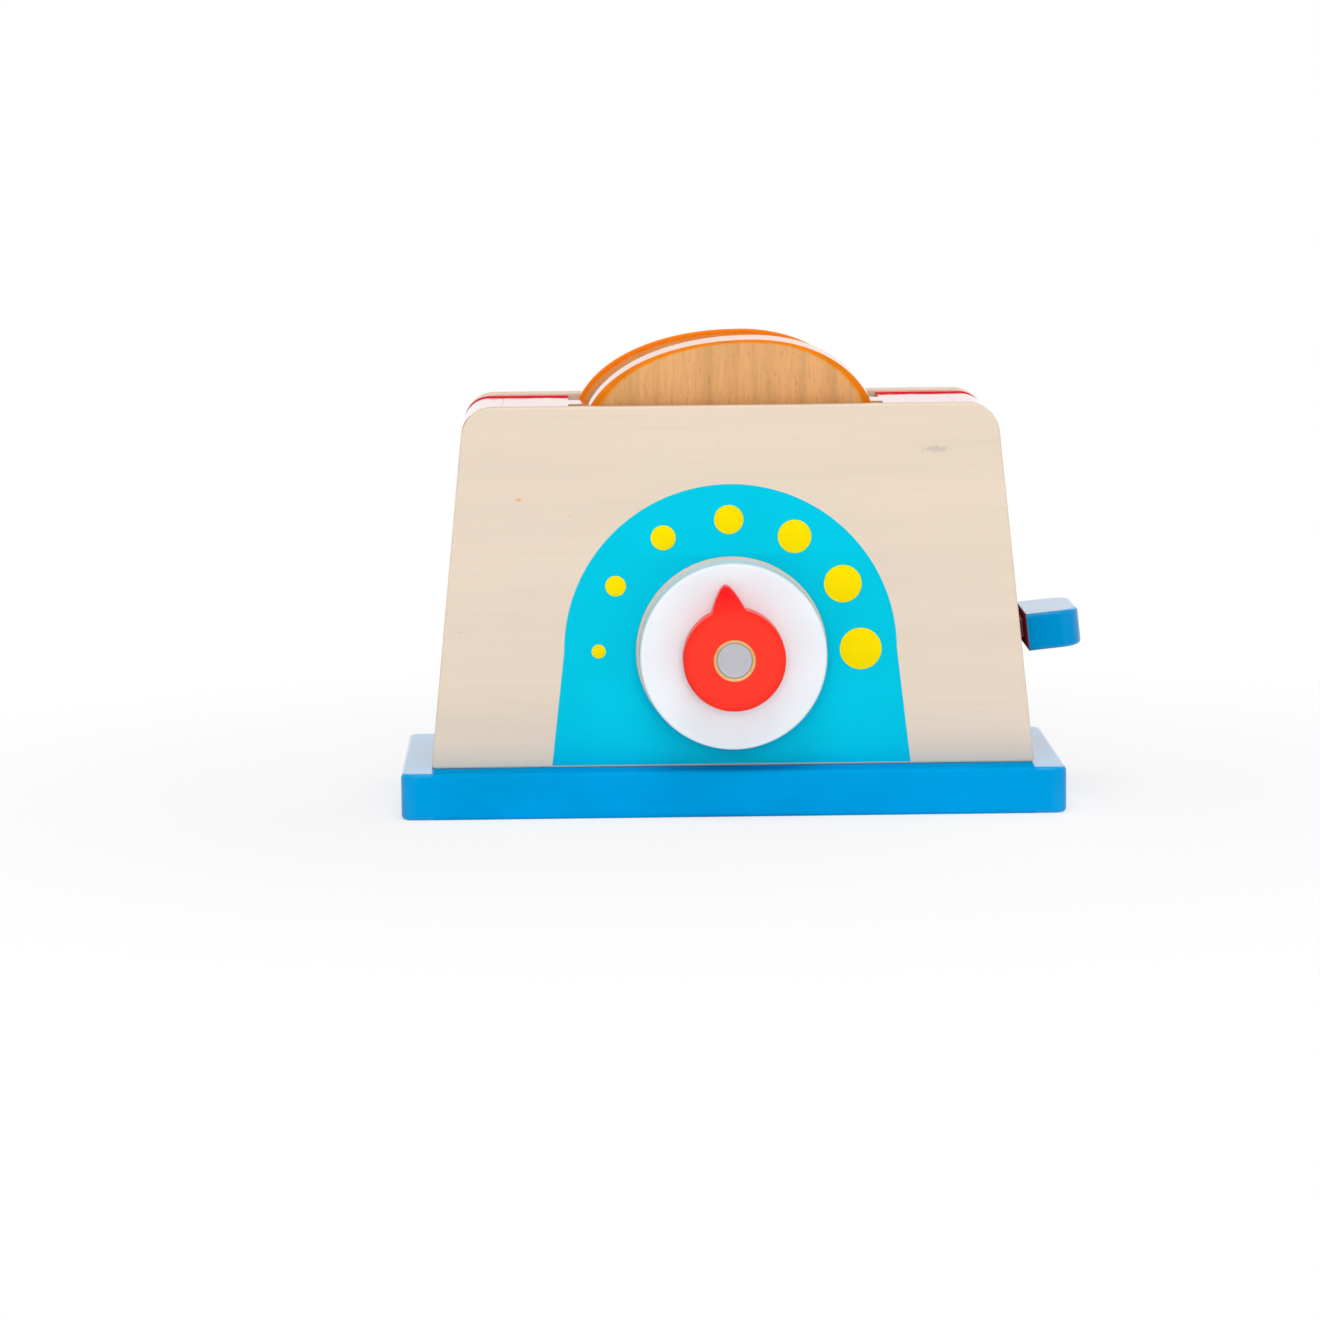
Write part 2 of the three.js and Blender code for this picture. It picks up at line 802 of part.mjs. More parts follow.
// A slice stands clear of its panel's top edge, also when the carriage is down
const lowered_height = base_height + body_height + carriage_travel - shelf_top_height;
const slice_limit = core_half_depth - slice_panel_clearance;
const slice_foot_height = shelf_top_height + fit_gap;

const toast_front = place(toaster, 'toast_front', slice(slice_thickness), ...toasted_wood);
const front_foot = -slice_limit + lowered_height * Math.tan(front_slice_lean);
toast_front.position.set(slot_offset + front_slice_shift, front_foot, slice_foot_height);
toast_front.rotation.x = front_slice_lean;

const toast_back = place(toaster, 'toast_back', slice(0), ...toasted_wood);
const back_foot = slice_limit - lowered_height * Math.tan(back_slice_lean);
toast_back.position.set(slot_offset + back_slice_shift, back_foot, slice_foot_height);
toast_back.rotation.x = -back_slice_lean;

console.log('least gap between the spring turns, mm:', springGap().toFixed(2));

export default toaster;
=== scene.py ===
"""Looks of a wooden toy toaster, built round its fixed frame.

All lengths are in metres in the frame's own axes: +X to the lever, -Y to the front, +Z up.
Each piece is a closed surface worked out with numpy and placed in its mesh, so every object
stays at the origin.
"""

import math

import bmesh
import bpy
import numpy as np
from bpy.props import FloatProperty, FloatVectorProperty, IntProperty, PointerProperty
from mathutils import Matrix, Vector
from mathutils.geometry import tessellate_polygon


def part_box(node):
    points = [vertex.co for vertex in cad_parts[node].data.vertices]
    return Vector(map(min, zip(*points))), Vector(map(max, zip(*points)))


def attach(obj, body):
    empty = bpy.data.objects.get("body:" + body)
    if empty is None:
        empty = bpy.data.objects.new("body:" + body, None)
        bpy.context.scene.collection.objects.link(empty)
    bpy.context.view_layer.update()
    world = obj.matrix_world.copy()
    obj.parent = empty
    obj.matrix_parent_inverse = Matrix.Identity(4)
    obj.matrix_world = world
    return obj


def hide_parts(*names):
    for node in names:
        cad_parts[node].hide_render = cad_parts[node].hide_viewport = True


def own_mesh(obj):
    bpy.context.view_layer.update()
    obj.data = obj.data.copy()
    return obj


bl_info = {
    "name": "Toy toaster",
    "version": (1, 0, 0),
    "blender": (4, 5, 0),
    "location": "3D View > Sidebar > Toaster",
    "description": "Builds the pieces, finishes and stage of a wooden toy toaster",
    "category": "Object",
}

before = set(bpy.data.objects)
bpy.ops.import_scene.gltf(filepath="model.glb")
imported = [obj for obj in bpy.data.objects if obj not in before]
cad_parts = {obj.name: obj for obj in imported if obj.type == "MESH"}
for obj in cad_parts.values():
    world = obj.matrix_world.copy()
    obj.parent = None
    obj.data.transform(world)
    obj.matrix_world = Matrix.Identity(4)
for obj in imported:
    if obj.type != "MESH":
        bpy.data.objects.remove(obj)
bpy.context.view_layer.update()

TURN = 2 * math.pi
QUARTER = math.pi / 2
SIDES = ("left", "right")

# Fixed small sizes
MERGE_DISTANCE = 1e-7
SHARP_FROM = math.radians(38)  # edges with a sharper turn than this are shaded as edges
CHAMFER = 0.0003  # of the turned pieces
ROD_CHAMFER = 0.0005
PIN_HEAD_ROUNDING = 0.00035
PIN_HEAD_CHAMFER = 0.0002  # behind the head
PIN_HEAD_DISH = 0.00004  # how far the head's middle lies below its rim
PLATE_ROW = 0.0004  # from a rounding to the next row of points on the plate's face
BORE_OVERCUT = 0.001  # how far a cutting shell reaches past the piece
END_FROM = 0.06  # place along X from which the top board's ends slope
LEVER_SLOT_ROOM = 0.0008  # on each side of the stem
LEVER_SLOT_CORNER = 0.0012
LEVER_SLOT_CUT = (0.065, 0.04)  # where the cut begins along X, and its depth
STEM_IN_BLOCK = 0.009
LEVER_END_CROWN = 0.25  # share of its rounding that the lever knob's inner face keeps
ARCH_HOLE_OFFSET = -0.0002  # place of the arch's bare circle along X
# The pointer's curve: shares of its half width and length at the knee, and of its half width
# at the shoulder
POINTER_KNEE, POINTER_SHOULDER = (0.75, 0.4), 0.32
DOME_CROWDING = 0.05  # how much closer a slice dome's points lie at its ends
BASE_ROWS = (0.0004, 0.0016)  # rows of points inside the base board's roundings
PANEL_FOOT_CORNER = 0.0004  # a panel's lower corners, beyond its edge rounding

# A screw's head radius, head height and shank radius
LONG_SCREW = (0.0036, 0.0022, 0.00175)
SMALL_SCREW = (0.0021, 0.0012, 0.0012)
# Shares of the head radius for the cross: its depth, half an arm's width and its ends' blur
CROSS_DEPTH, CROSS_ARM, CROSS_END = 0.45, 0.13, 0.25
# Shares of the shank radius for the thread and the point
THREAD_PITCH, THREAD_ROOT, POINT_LENGTH, POINT_RADIUS = 0.9, 0.78, 1.6, 0.04
BASE_SCREWS = [f"base_screw_{i}" for i in range(1, 5)]
SHELF_SCREWS = [f"carriage_screw_{i}" for i in range(1, 5)]
BLOCK_SCREWS = [f"carriage_screw_{i}" for i in range(5, 7)]

# Distances from a slice's edge at which its faces have a row of points for the painted rim,
# and the distance from its middle at which that rim is widest
RIM_ROWS = (0.0003, 0.0006, 0.0009, 0.0012, 0.0016, 0.002, 0.0026, 0.0034, 0.0046)
RIM_WIDEST_AT = 0.045

# Spots in the plywood: middle, half sizes, screen colour and strength
PANEL_SPOTS = {
    "front": (
        ((-0.0670, -0.0355, 0.1002), (0.0012, 0.004, 0.0007), (0.93, 0.66, 0.40), 0.7),
        ((0.0649, -0.0355, 0.1149), (0.0055, 0.004, 0.0011), (0.74, 0.68, 0.63), 0.5),
    ),
    "back": (
        ((-0.031, 0.0355, 0.091), (0.006, 0.004, 0.0015), (0.72, 0.62, 0.52), 0.45),
    ),
}
PLY_PAIR = 0.0024  # thickness of a light and a dark ply
PLY_CLOUD = (0.915, 0.838, 0.775)
PORE_BROWN = (0.72, 0.62, 0.52)
TICK_BROWN = (0.6, 0.38, 0.2)
DEEP_RED = (0.97, 0.03, 0.03)
COUNTERBORE_WOOD = ((0.9, 0.74, 0.5), (0.82, 0.64, 0.4))

# Borders between gloss and matt paint, as distances
MATT_WANDER = 0.003  # of the border on the red top, to each side
MATT_BLUR = 0.003  # of that border, to each side
GLOSS_BELOW_TOP = (0.010, 0.007)  # depth below the red top where the gloss begins and is full
GLOSS_BESIDE_BODY = (0.004, 0.007)  # the same on the base board's sides, beside the body
GLOSS_ON_LEVER = (0.0105, 0.0125)  # the same along the lever knob
LEVER_FACE_BLUR = (0.0002, 0.0006)
SIDE_WALL_MATT = 0.75  # share of matt on the red sides

# Lamps by name: size, place and the point that they face
LAMPS = {
    "key": (1.1, (-0.05, -0.55, 1.6), (0, 0, 0.06)),
    "front": (1.0, (0.0, -2.2, 0.38), (0, 0, 0.06)),
    "back": (1.2, (0.6, 1.2, 1.3), (0, 0, 0.08)),
}
SWEEP_HALF_WIDTH = 6.0
SWEEP_FRONT, SWEEP_BEND, SWEEP_RADIUS, SWEEP_TOP = -4.0, 3.0, 1.5, 5.0
WHITE = (1, 1, 1, 1)
# Borders that fade: the floor in front along Y, as reflections see it, the lit floor's
# distance from the object, and the world's front side along its own Y
FLOOR_FRONT = (-0.1, -0.05)
LIT_FLOOR = (0.14, 0.36)
SKY_FRONT = (-0.5, 0.1)

# Camera fitted to the edges of base, panels and dial
SENSOR_WIDTH = 36.0  # in millimetres
CAMERA_PLACE = (-0.05085, -1.6475, 0.2524)
CAMERA_RIGHT = (0.99978391, -0.01851601, -0.00944972)
CAMERA_UP = (0.01169314, 0.12506704, 0.99207939)
CAMERA_AHEAD = (0.01718751, 0.9919755, -0.12525652)


def length(name, default, description):
    """A property for a length in metres."""
    return FloatProperty(
        name=name, description=description, default=default, unit="LENGTH", precision=5
    )


def tilt(name, degrees, description):
    """A property for an angle, given here in degrees."""
    return FloatProperty(
        name=name, description=description, default=math.radians(degrees), unit="ROTATION"
    )


def share(name, default, description):
    """A property for a plain number."""
    return FloatProperty(name=name, description=description, default=default)


def colour(name, default, description):
    """A property for a screen colour, in three parts from 0 to 1."""
    return FloatVectorProperty(
        name=name, description=description, default=default, size=3, min=0, max=1,
        subtype="COLOR_GAMMA",
    )


class ToasterSizes(bpy.types.PropertyGroup):
    """Sizes that the frame's boxes don't give."""

    base_corner: length("Base corner", 0.004, "Radius of the base board's upright corners")
    base_rounding: length("Base rounding", 0.0014, "Rounding of the base board's edges")
    body_taper: length("Body taper", 0.0117, "How much each side of the body draws in to its top")
    panel_corner: length("Panel corner", 0.010, "Radius of a panel's top corners")
    panel_rounding: length("Panel rounding", 0.0007, "Rounding of a panel's edges")
    core_corner: length("Wall corner", 0.008, "Radius of a side wall's top corner")
    wall_thickness: length("Wall thickness", 0.012, "Thickness of a side wall")
    board_rounding: length("Board rounding", 0.0004, "Rounding of the inner boards' edges")
    joint_rounding: length("Joint rounding", 0.00012, "Rounding at the top board's glued joints")
    joint_gap: length("Joint gap", 0.00008, "How far the top board's ends pass its frame box")
    matt_from: length("Matt from", 0.0165, "Place along Y from which the red top is matt")
    slot_length: length("Slot length", 0.1004, "Length of a slot in the top board")
    slot_depth: length("Slot depth", 0.021, "Width of a slot in the top board")
    slot_offset: length("Slot offset", -0.0008, "Place of the slots' middle along X")
    slot_corner: length("Slot corner", 0.0012, "Radius in the slots' inner corners")
    slice_corner: length("Slice corner", 0.006, "Radius of a slice's foot corners")
    slice_rounding: length("Slice rounding", 0.0011, "Rounding of a slice's edges")
    slice_thickness: length("Slice thickness", 0.012, "Thickness of a slice")
    slice_width: length("Slice width", 0.0940, "Greatest width of a slice")
    slice_foot_taper: length("Slice foot taper", 0.0027, "How much a slice's foot draws in")
    slice_dome: length("Slice dome", 0.0314, "Height of a slice's domed top")
    slice_dome_power: share("Dome power", 2.1, "Power of the dome's curve; 2 is an ellipse")
    slice_dome_shift: length("Dome shift", 0.0071, "Place of the dome's top from the middle")
    slice_height: length("Slice height", 0.0965, "Height of a slice")
    front_rim: length("Front rim", 0.0009, "Width of the front slice's painted rim at its top")
    back_rim: length("Back rim", 0.002, "Width of the back slice's painted rim at its top")
    rim_spread: length("Rim spread", 0.0022, "How much the front slice's rim widens to its sides")
    front_slice_lean: tilt("Front slice lean", 5.0, "How far the front slice leans forward")
    back_slice_lean: tilt("Back slice lean", 3.0, "How far the back slice leans back")
    plate_rounding: length("Plate rounding", 0.001, "Rounding of the dial plate's front edge")
    bore_radius: length("Bore radius", 0.0028, "Radius of the bores that the pin passes")
    knob_radius: length("Knob radius", 0.0161, "Radius of the dial knob")
    knob_rounding: length("Knob rounding", 0.0008, "Rounding of the dial knob's edges")
    pointer_reach: length("Pointer reach", 0.0232, "Reach of the pointer from the knob's axis")
    pointer_half_width: length("Pointer half width", 0.00535, "Half the pointer's foot width")
    pointer_drop: length("Pointer drop", 0.0036, "How far the pointer slopes back to its tip")
    pointer_angle: tilt("Pointer angle", 6.5, "Turn of the pointer from upright")
    counterbore_radius: length("Counterbore radius", 0.0056, "Radius of the counterbore")
    counterbore_lip: length("Counterbore lip", 0.0009, "Width of the bare lip round it")
    counterbore_depth: length("Counterbore depth", 0.002, "Depth of the knob's counterbore")
    pin_head_radius: length("Pin head radius", 0.0055, "Radius of the pin's flat head")
    pin_head_thickness: length("Pin head thickness", 0.0015, "Thickness of the pin's flat head")
    pin_radius: length("Pin radius", 0.0025, "Radius of the pin's shaft")
    lever_outer_corner: length("Lever outer corner", 0.007, "Radius of the knob's outer corners")
    lever_inner_corner: length("Lever inner corner", 0.0006, "Radius of its inner corners")
    lever_rounding: length("Lever rounding", 0.0014, "Rounding of the lever knob's edges")
    lever_length: length("Lever knob length", 0.01748, "Its length away from the wall")
    lever_thickness: length("Lever knob thickness", 0.012, "Thickness of the lever knob")
    lever_face: length("Lever face", 0.09499, "Place along X of the knob's inner face")
    lever_height: length("Lever height", 0.05405, "Height of the middle of that face")
    stem_width: length("Stem width", 0.010, "Width of the lever's stem")
    stem_thickness: length("Stem thickness", 0.006, "Thickness of the lever's stem")
    stem_in_knob: length("Stem in knob", 0.010, "How far the stem reaches into the lever knob")
    bush_radius: length("Bush radius", 0.005, "Outer radius of a guide bush")
    flange_thickness: length("Flange thickness", 0.002, "Thickness of a guide bush's flange")
    rod_radius: length("Rod radius", 0.003, "Radius of a guide rod")
    clearance: length("Clearance", 0.0003, "Gap between pieces that fit into each other")
    wire_radius: length("Wire radius", 0.0005, "Radius of the spring wire")
    spring_turns: share("Spring turns", 5.5, "Turns of a lift spring")
    carriage_travel: length("Carriage travel", 0.024, "How far the carriage goes down")
    screw_recess: share("Screw recess", 0.6, "Reach of a cross recess as a share of the head")
    arch_radius: length("Arch radius", 0.0527, "Outer radius of the painted arch")
    arch_inner: length("Arch inner radius", 0.0303, "Radius of the bare circle inside it")
    arch_spread: length("Arch spread", 0.0042, "How much each side of it spreads to its foot")
    arch_offset: length("Arch offset", -0.0005, "Place of the arch's middle along X")
    marks_rise: length("Marks rise", 0.0005, "Height of the marks' middle above the dial's")
    dots_offset: length("Dots offset", -0.0008, "Place of the dots' middle along X")
    paint_layer: length("Paint layer", 0.00008, "Thickness of a painted layer")
    dot_ring: length("Dot ring", 0.0415, "Radius of the circle that the dots lie on")
    dot_first: length("First dot", 0.0022, "Radius of the smallest dot")
    dot_second: length("Second dot", 0.00326, "Radius of the second dot")
    dot_step: length("Dot step", 0.00067, "How much each later dot's radius grows")
    dot_count: IntProperty(name="Dots", description="Number of dots", default=7, min=2)


class ToasterColours(bpy.types.PropertyGroup):
    """Screen colours of the finishes."""

    blue_paint: colour("Blue paint", (0.0, 0.615, 0.872), "Base board")
    red_paint: colour("Red paint", (0.86, 0.16, 0.22), "Side walls and top board")
    lever_paint: colour("Lever paint", (0.0, 0.585, 0.835), "Lever knob")
    # The lever knob's inner face colour is a painted reflection: the red side wall mirrored in
    # shade, as a greyish maroon
    knob_inner_painted_reflection: colour("Knob inner face", (0.5, 0.39, 0.43), "Lever knob's unpainted inner face")
    knob_red: colour("Knob red", (1.0, 0.22, 0.15), "Dial knob")
    white_paint: colour("White paint", (0.93, 0.965, 0.985), "Dial plate")
    # The plate's side colour is painted shade tinted by a painted reflection of the cyan arch
    plate_rim_painted_shade: colour("Plate rim", (0.855, 0.885, 0.905), "Side of the dial plate")
    arch_paint: colour("Arch paint", (0.0, 0.782, 0.89), "Arch on the front panel")
    dot_paint: colour("Dot paint", (1.0, 0.882, 0.0), "Dots on the arch")
    plywood: colour("Plywood", (0.91, 0.842, 0.762), "Faces of the panels")
    ply_dark: colour("Ply core", (0.78, 0.66, 0.52), "Darker plies in the panels' edges")
    # The stem's red-brown is painted shade with red bounce light from the side wall, over bare wood
    stem_wood: colour("Stem wood", (0.62, 0.42, 0.42), "Lever's stem, stained red-brown")
    bare_wood: colour("Bare wood", (0.85, 0.725, 0.55), "Inner wooden pieces")
    toast_wood: colour("Toasted wood", (0.905, 0.682, 0.452), "Faces of the slices")
    rim_orange: colour("Rim orange", (0.93, 0.49, 0.02), "Painted rim of the front slice")
    rim_gold: colour("Rim gold", (0.92, 0.61, 0.13), "Its inner side, where it thins out")
    # The back slice's rim colours are brighter than the front's as painted light, against the shade
    # that the front slice throws on it
    back_rim_orange_painted_light: colour("Back rim orange", (1.0, 0.505, 0.0), "Rim of the back slice")
    back_rim_gold_painted_light: colour("Back rim gold", (1.0, 0.66, 0.3), "Its inner side")
    grey_plastic: colour("Grey plastic", (0.745, 0.737, 0.765), "Dial pin")
    bush_plastic: colour("Off-white plastic", (0.914, 0.906, 0.88), "Guide bushes")
    steel: colour("Steel", (0.72, 0.733, 0.753), "Springs, screws and retaining ring")


class ToasterStage(bpy.types.PropertyGroup):
    """Floor, light and camera."""

    floor_colour: colour("Floor colour", (0.97, 0.97, 0.975), "Floor and backdrop")
    world_strength: share("World strength", 0.46, "Strength of the light from all round")
    near_white: share("Near white", 0.65, "Share of plain white in the floor by the object")
    front_reflection: share("Front reflection", 0.3, "Brightness of what front faces reflect")
    key_power: share("Key power", 11.0, "Power of the large lamp above, in watts")
    front_power: share("Front power", 15.7, "Power of the lamp in front, in watts")
    back_power: share("Back power", 6.0, "Power of the lamp behind, in watts")
    lens: share("Lens", 139.96, "Focal length in millimetres, on a sensor 36 mm wide")


# Shapes


def rounded_outline(corners, steps):
    """Closed anticlockwise outline of straight sides and round corners, with outward normals.

    corners holds u, v and radius. With n0 and n1 the outward normals of the sides before and
    after a corner p, the arc's centre is p - s r (n0 + n1) / (1 + n0.n1), where s is 1 for a
    corner that turns left and -1 for one that turns right, and its points are the centre plus
    s r times a normal that swings from n0 to n1.
    """
    corners = np.asarray(corners, float)
    points, radii = corners[:, :2], corners[:, 2]
    sides = np.roll(points, -1, axis=0) - points
    sides /= np.linalg.norm(sides, axis=1)[:, None]
    before = np.roll(sides, 1, axis=0)
    n0 = np.stack([before[:, 1], -before[:, 0]], axis=1)
    n1 = np.stack([sides[:, 1], -sides[:, 0]], axis=1)
    cross = before[:, 0] * sides[:, 1] - before[:, 1] * sides[:, 0]
    turn = np.arctan2(cross, (before * sides).sum(1))
    hand = np.sign(turn)
    centres = points - (hand * radii / (1 + (n0 * n1).sum(1)))[:, None] * (n0 + n1)
    swing = turn[:, None] * np.linspace(0, 1, steps + 1)
    angles = np.arctan2(n0[:, 1], n0[:, 0])[:, None] + swing
    normals = np.stack([np.cos(angles), np.sin(angles)], axis=2)
    loop = centres[:, None] + (hand * radii)[:, None, None] * normals
    return loop.reshape(-1, 2), normals.reshape(-1, 2)


def rectangle(u0, u1, v0, v1, radius, steps):
    """Rectangle between two places along each axis, with alike round corners."""
    corners = [(u0, v0, radius), (u1, v0, radius), (u1, v1, radius), (u0, v1, radius)]
    return rounded_outline(corners, steps)


def smooth_normals(loop):
    """Outward normals of a smooth anticlockwise outline: square to the line between each
    point's neighbours."""
    along = np.roll(loop, -1, axis=0) - np.roll(loop, 1, axis=0)
    along /= np.linalg.norm(along, axis=1)[:, None]
    return np.stack([along[:, 1], -along[:, 0]], axis=1)


def circle(radius, count, centre=(0.0, 0.0)):
    """Anticlockwise circle: centre plus radius times cosine and sine."""
    angles = np.arange(count) / count * TURN
    normals = np.stack([np.cos(angles), np.sin(angles)], axis=1)
    return np.asarray(centre) + radius * normals, normals


def edge_profile(thickness, rounding, steps, rims=None):
    """Rows of inset, height and side share from the low face's inner rim to the high face's.

    The edge is a quarter circle at each face: the inset is r (1 - sin a) and the height is
    r (1 - cos a), with a from 0 to a quarter turn, mirrored for the high face. One more row
    close to each rounding keeps the side's shading flat. The side share is 1 on the side and
    0 on the faces.
    """
    rims = (rounding / 3,) if rims is None else rims
    a = np.linspace(0, QUARTER, steps + 1)
    side = (a > 0.9 * QUARTER).astype(float)
    low = np.stack([rounding * (1 - np.sin(a)), rounding * (1 - np.cos(a)), side], axis=1)
    inner = [[rounding + rim, 0.0, 0.0] for rim in sorted(rims, reverse=True)]
    beside = [[0.0, 1.2 * rounding, 1.0]]
    low = np.concatenate([np.array(inner).reshape(-1, 3), low, beside])
    high = low[::-1] * [1, -1, 1] + [0, thickness, 0]
    return np.concatenate([low, high])


class Shell:
    """Points, faces and point values of one piece, gathered ring by ring."""

    def __init__(self):
        self.points = []
        self.quads = []
        self.triangles = []
        self.values = []
        self.count = 0

    def ring(self, points, rim=0.0, side=0.0):
        """Adds a row of points with their inset and side share, and returns their numbers."""
        points = np.asarray(points, float)
        numbers = np.arange(self.count, self.count + len(points))
        self.points.append(points)
        self.values.append(np.tile([rim, side], (len(points), 1)))
        self.count += len(points)
        return numbers

    def strip(self, a, b):
        """Quads between two closed rings with as many points."""
        self.quads.append(np.stack([a, np.roll(a, -1), np.roll(b, -1), b], axis=1))

    def close(self, *rings):
        """Flat face inside the first ring and outside the others."""
        numbers = np.concatenate(rings)
        points = np.concatenate(self.points)
        loops = [[Vector(p) for p in points[ring]] for ring in rings]
        self.triangles.append(numbers[np.array(tessellate_polygon(loops))])

    def skin(self, rings, closed=False):
        """Strips from each ring to the next. The last ring joins the first, or else both are
        closed flat."""
        for a, b in zip(rings, rings[1:]):
            self.strip(a, b)
        if closed:
            self.strip(rings[-1], rings[0])
        else:
            self.close(rings[0])
            self.close(rings[-1])

    def slab(self, loop, normals, profile, place, holes=()):
        """Outline carried through a profile: a point is the outline's less inset times its
        normal, at the profile's height. Round holes keep their centre and widen by the inset.
        Returns the shell."""
        widest = profile[:, 0].max()
        outer, inner = [], [[] for _ in holes]
        for inset, height, side in profile:
            flat = loop - inset * normals
            outer.append(self.ring(place(flat[:, 0], flat[:, 1], height), inset, side))
            for rings, (u, v, radius) in zip(inner, holes):
                around, _ = circle(radius + inset, 48, (u, v))
                rings.append(self.ring(place(around[:, 0], around[:, 1], height), widest, side))
        for a, b in zip(outer, outer[1:]):
            self.strip(a, b)
        for rings in inner:
            for a, b in zip(rings, rings[1:]):
                self.strip(b, a)
        for end in (0, -1):
            self.close(outer[end], *[rings[end] for rings in inner])
        return self

    def lathe(self, profile, place, count, closed=False):
        """Profile of radius and height turned round an axis: u = r cos t, v = r sin t. Returns
        the shell."""
        unit, _ = circle(1.0, count)
        self.skin([self.ring(place(r * unit[:, 0], r * unit[:, 1], h)) for r, h in profile], closed)
        return self

    def mesh(self, name):
        """The shell as a mesh with smooth shading, sharp edges and outward faces."""
        mesh = bpy.data.meshes.new(name)
        parts = [np.concatenate(part) for part in (self.quads, self.triangles) if part]
        faces = [face for part in parts for face in part.tolist()]
        mesh.from_pydata(np.concatenate(self.points).tolist(), [], faces)
        values = np.concatenate(self.values).astype(np.float32)
        for column, key in enumerate(("rim", "side")):
            attribute = mesh.attributes.new(key, "FLOAT", "POINT")
            attribute.data.foreach_set("value", np.ascontiguousarray(values[:, column]))
        outward(mesh)
        return mesh


def outward(mesh):
    """Merges doubled points, turns the faces outwards and sets smooth shading with sharp edges."""
    work = bmesh.new()
    work.from_mesh(mesh)
    bmesh.ops.remove_doubles(work, verts=work.verts, dist=MERGE_DISTANCE)
    bmesh.ops.recalc_face_normals(work, faces=work.faces)
    work.to_mesh(mesh)
    work.free()
    mesh.shade_smooth()
    mesh.set_sharp_from_angle(angle=SHARP_FROM)


def level(u, v, h):
    """Lays an outline flat: u is X, v is Y and the height is Z."""
    return np.stack([u, v, np.full_like(u, h)], axis=1)


def upright(y):
    """Stands an outline up: u is X, v is Z, and the height runs from y to the front."""
    return lambda u, v, h: np.stack([u, np.full_like(u, y - h), v], axis=1)


def sideways(x):
    """Stands an outline on edge: u is Y, v is Z, and the height runs from x to the right."""
    return lambda u, v, h: np.stack([np.full_like(u, x + h), u, v], axis=1)


def moved(place, by):
    """The same placing, shifted."""
    return lambda u, v, h: place(u, v, h) + np.asarray(by)


def standing(centre):
    """Placing round an upright line through a point; the height is Z."""
    return moved(level, (centre[0], centre[1], 0))


def link(thing):
    """Adds an object to the scene and returns it."""
    bpy.context.scene.collection.objects.link(thing)
    return thing


def carve(piece, cutters):
    """Cuts closed shells out of a piece and keeps the result as its mesh."""
    for number, shell in enumerate(cutters):
        name = f"cutter_{number}"
        tool = link(bpy.data.objects.new(name, shell.mesh(name)))
        modifier = piece.modifiers.new("cut", "BOOLEAN")
        modifier.operation = "DIFFERENCE"
        modifier.solver = "EXACT"
        modifier.object = tool
        bpy.context.view_layer.update()
        result = piece.evaluated_get(bpy.context.evaluated_depsgraph_get())
        cut = bpy.data.meshes.new_from_object(result)
        piece.modifiers.remove(modifier)
        cut.name = piece.data.name
        piece.data = cut
        bpy.data.objects.remove(tool)
    outward(piece.data)


def add_piece(name, shell, material, body, slot, *nodes):
    """Makes a shell a piece with its finish and body, and hides the nodes it stands for."""
    mesh = shell.mesh(name)
    mesh.materials.append(material)
    piece = link(bpy.data.objects.new(name, mesh))
    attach(piece, body)
    if nodes:
        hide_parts(*nodes)
    return piece


def node_box(node):
    """Lowest and highest corner of a frame node, as arrays."""
    low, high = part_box(node)
    return np.array(low), np.array(high)


def board(box, rounding, along):
    """Shell of a plain board that fills a box, its edges rounded; it is thick along one axis."""
    low, high = box
    middle, half = (low + high) / 2, (high - low) / 2
    a, b = np.delete(half, along)
    loop, normals = rectangle(-a, a, -b, b, 1.5 * rounding, 4)
    place = (sideways(-half[0]), upright(half[1]), moved(level, (0, 0, -half[2])))[along]
    profile = edge_profile(2 * half[along], rounding, 3)
    return Shell().slab(loop, normals, profile, moved(place, middle))


def bore_tool(centre, radius, bottom, top, count):
    """Shell that cuts an upright round bore."""
    return Shell().lathe([(radius, bottom), (radius, top)], standing(centre), count)


# Finishes


def linear(rgb, factor=1.0):
    """Linear colour with alpha from a screen colour."""
    rgb = np.clip(np.asarray(rgb, float), 0, 1)
    value = np.where(rgb <= 0.04045, rgb / 12.92, ((rgb + 0.055) / 1.055) ** 2.4) * factor
    return (*np.clip(value, 0, 1), 1.0)


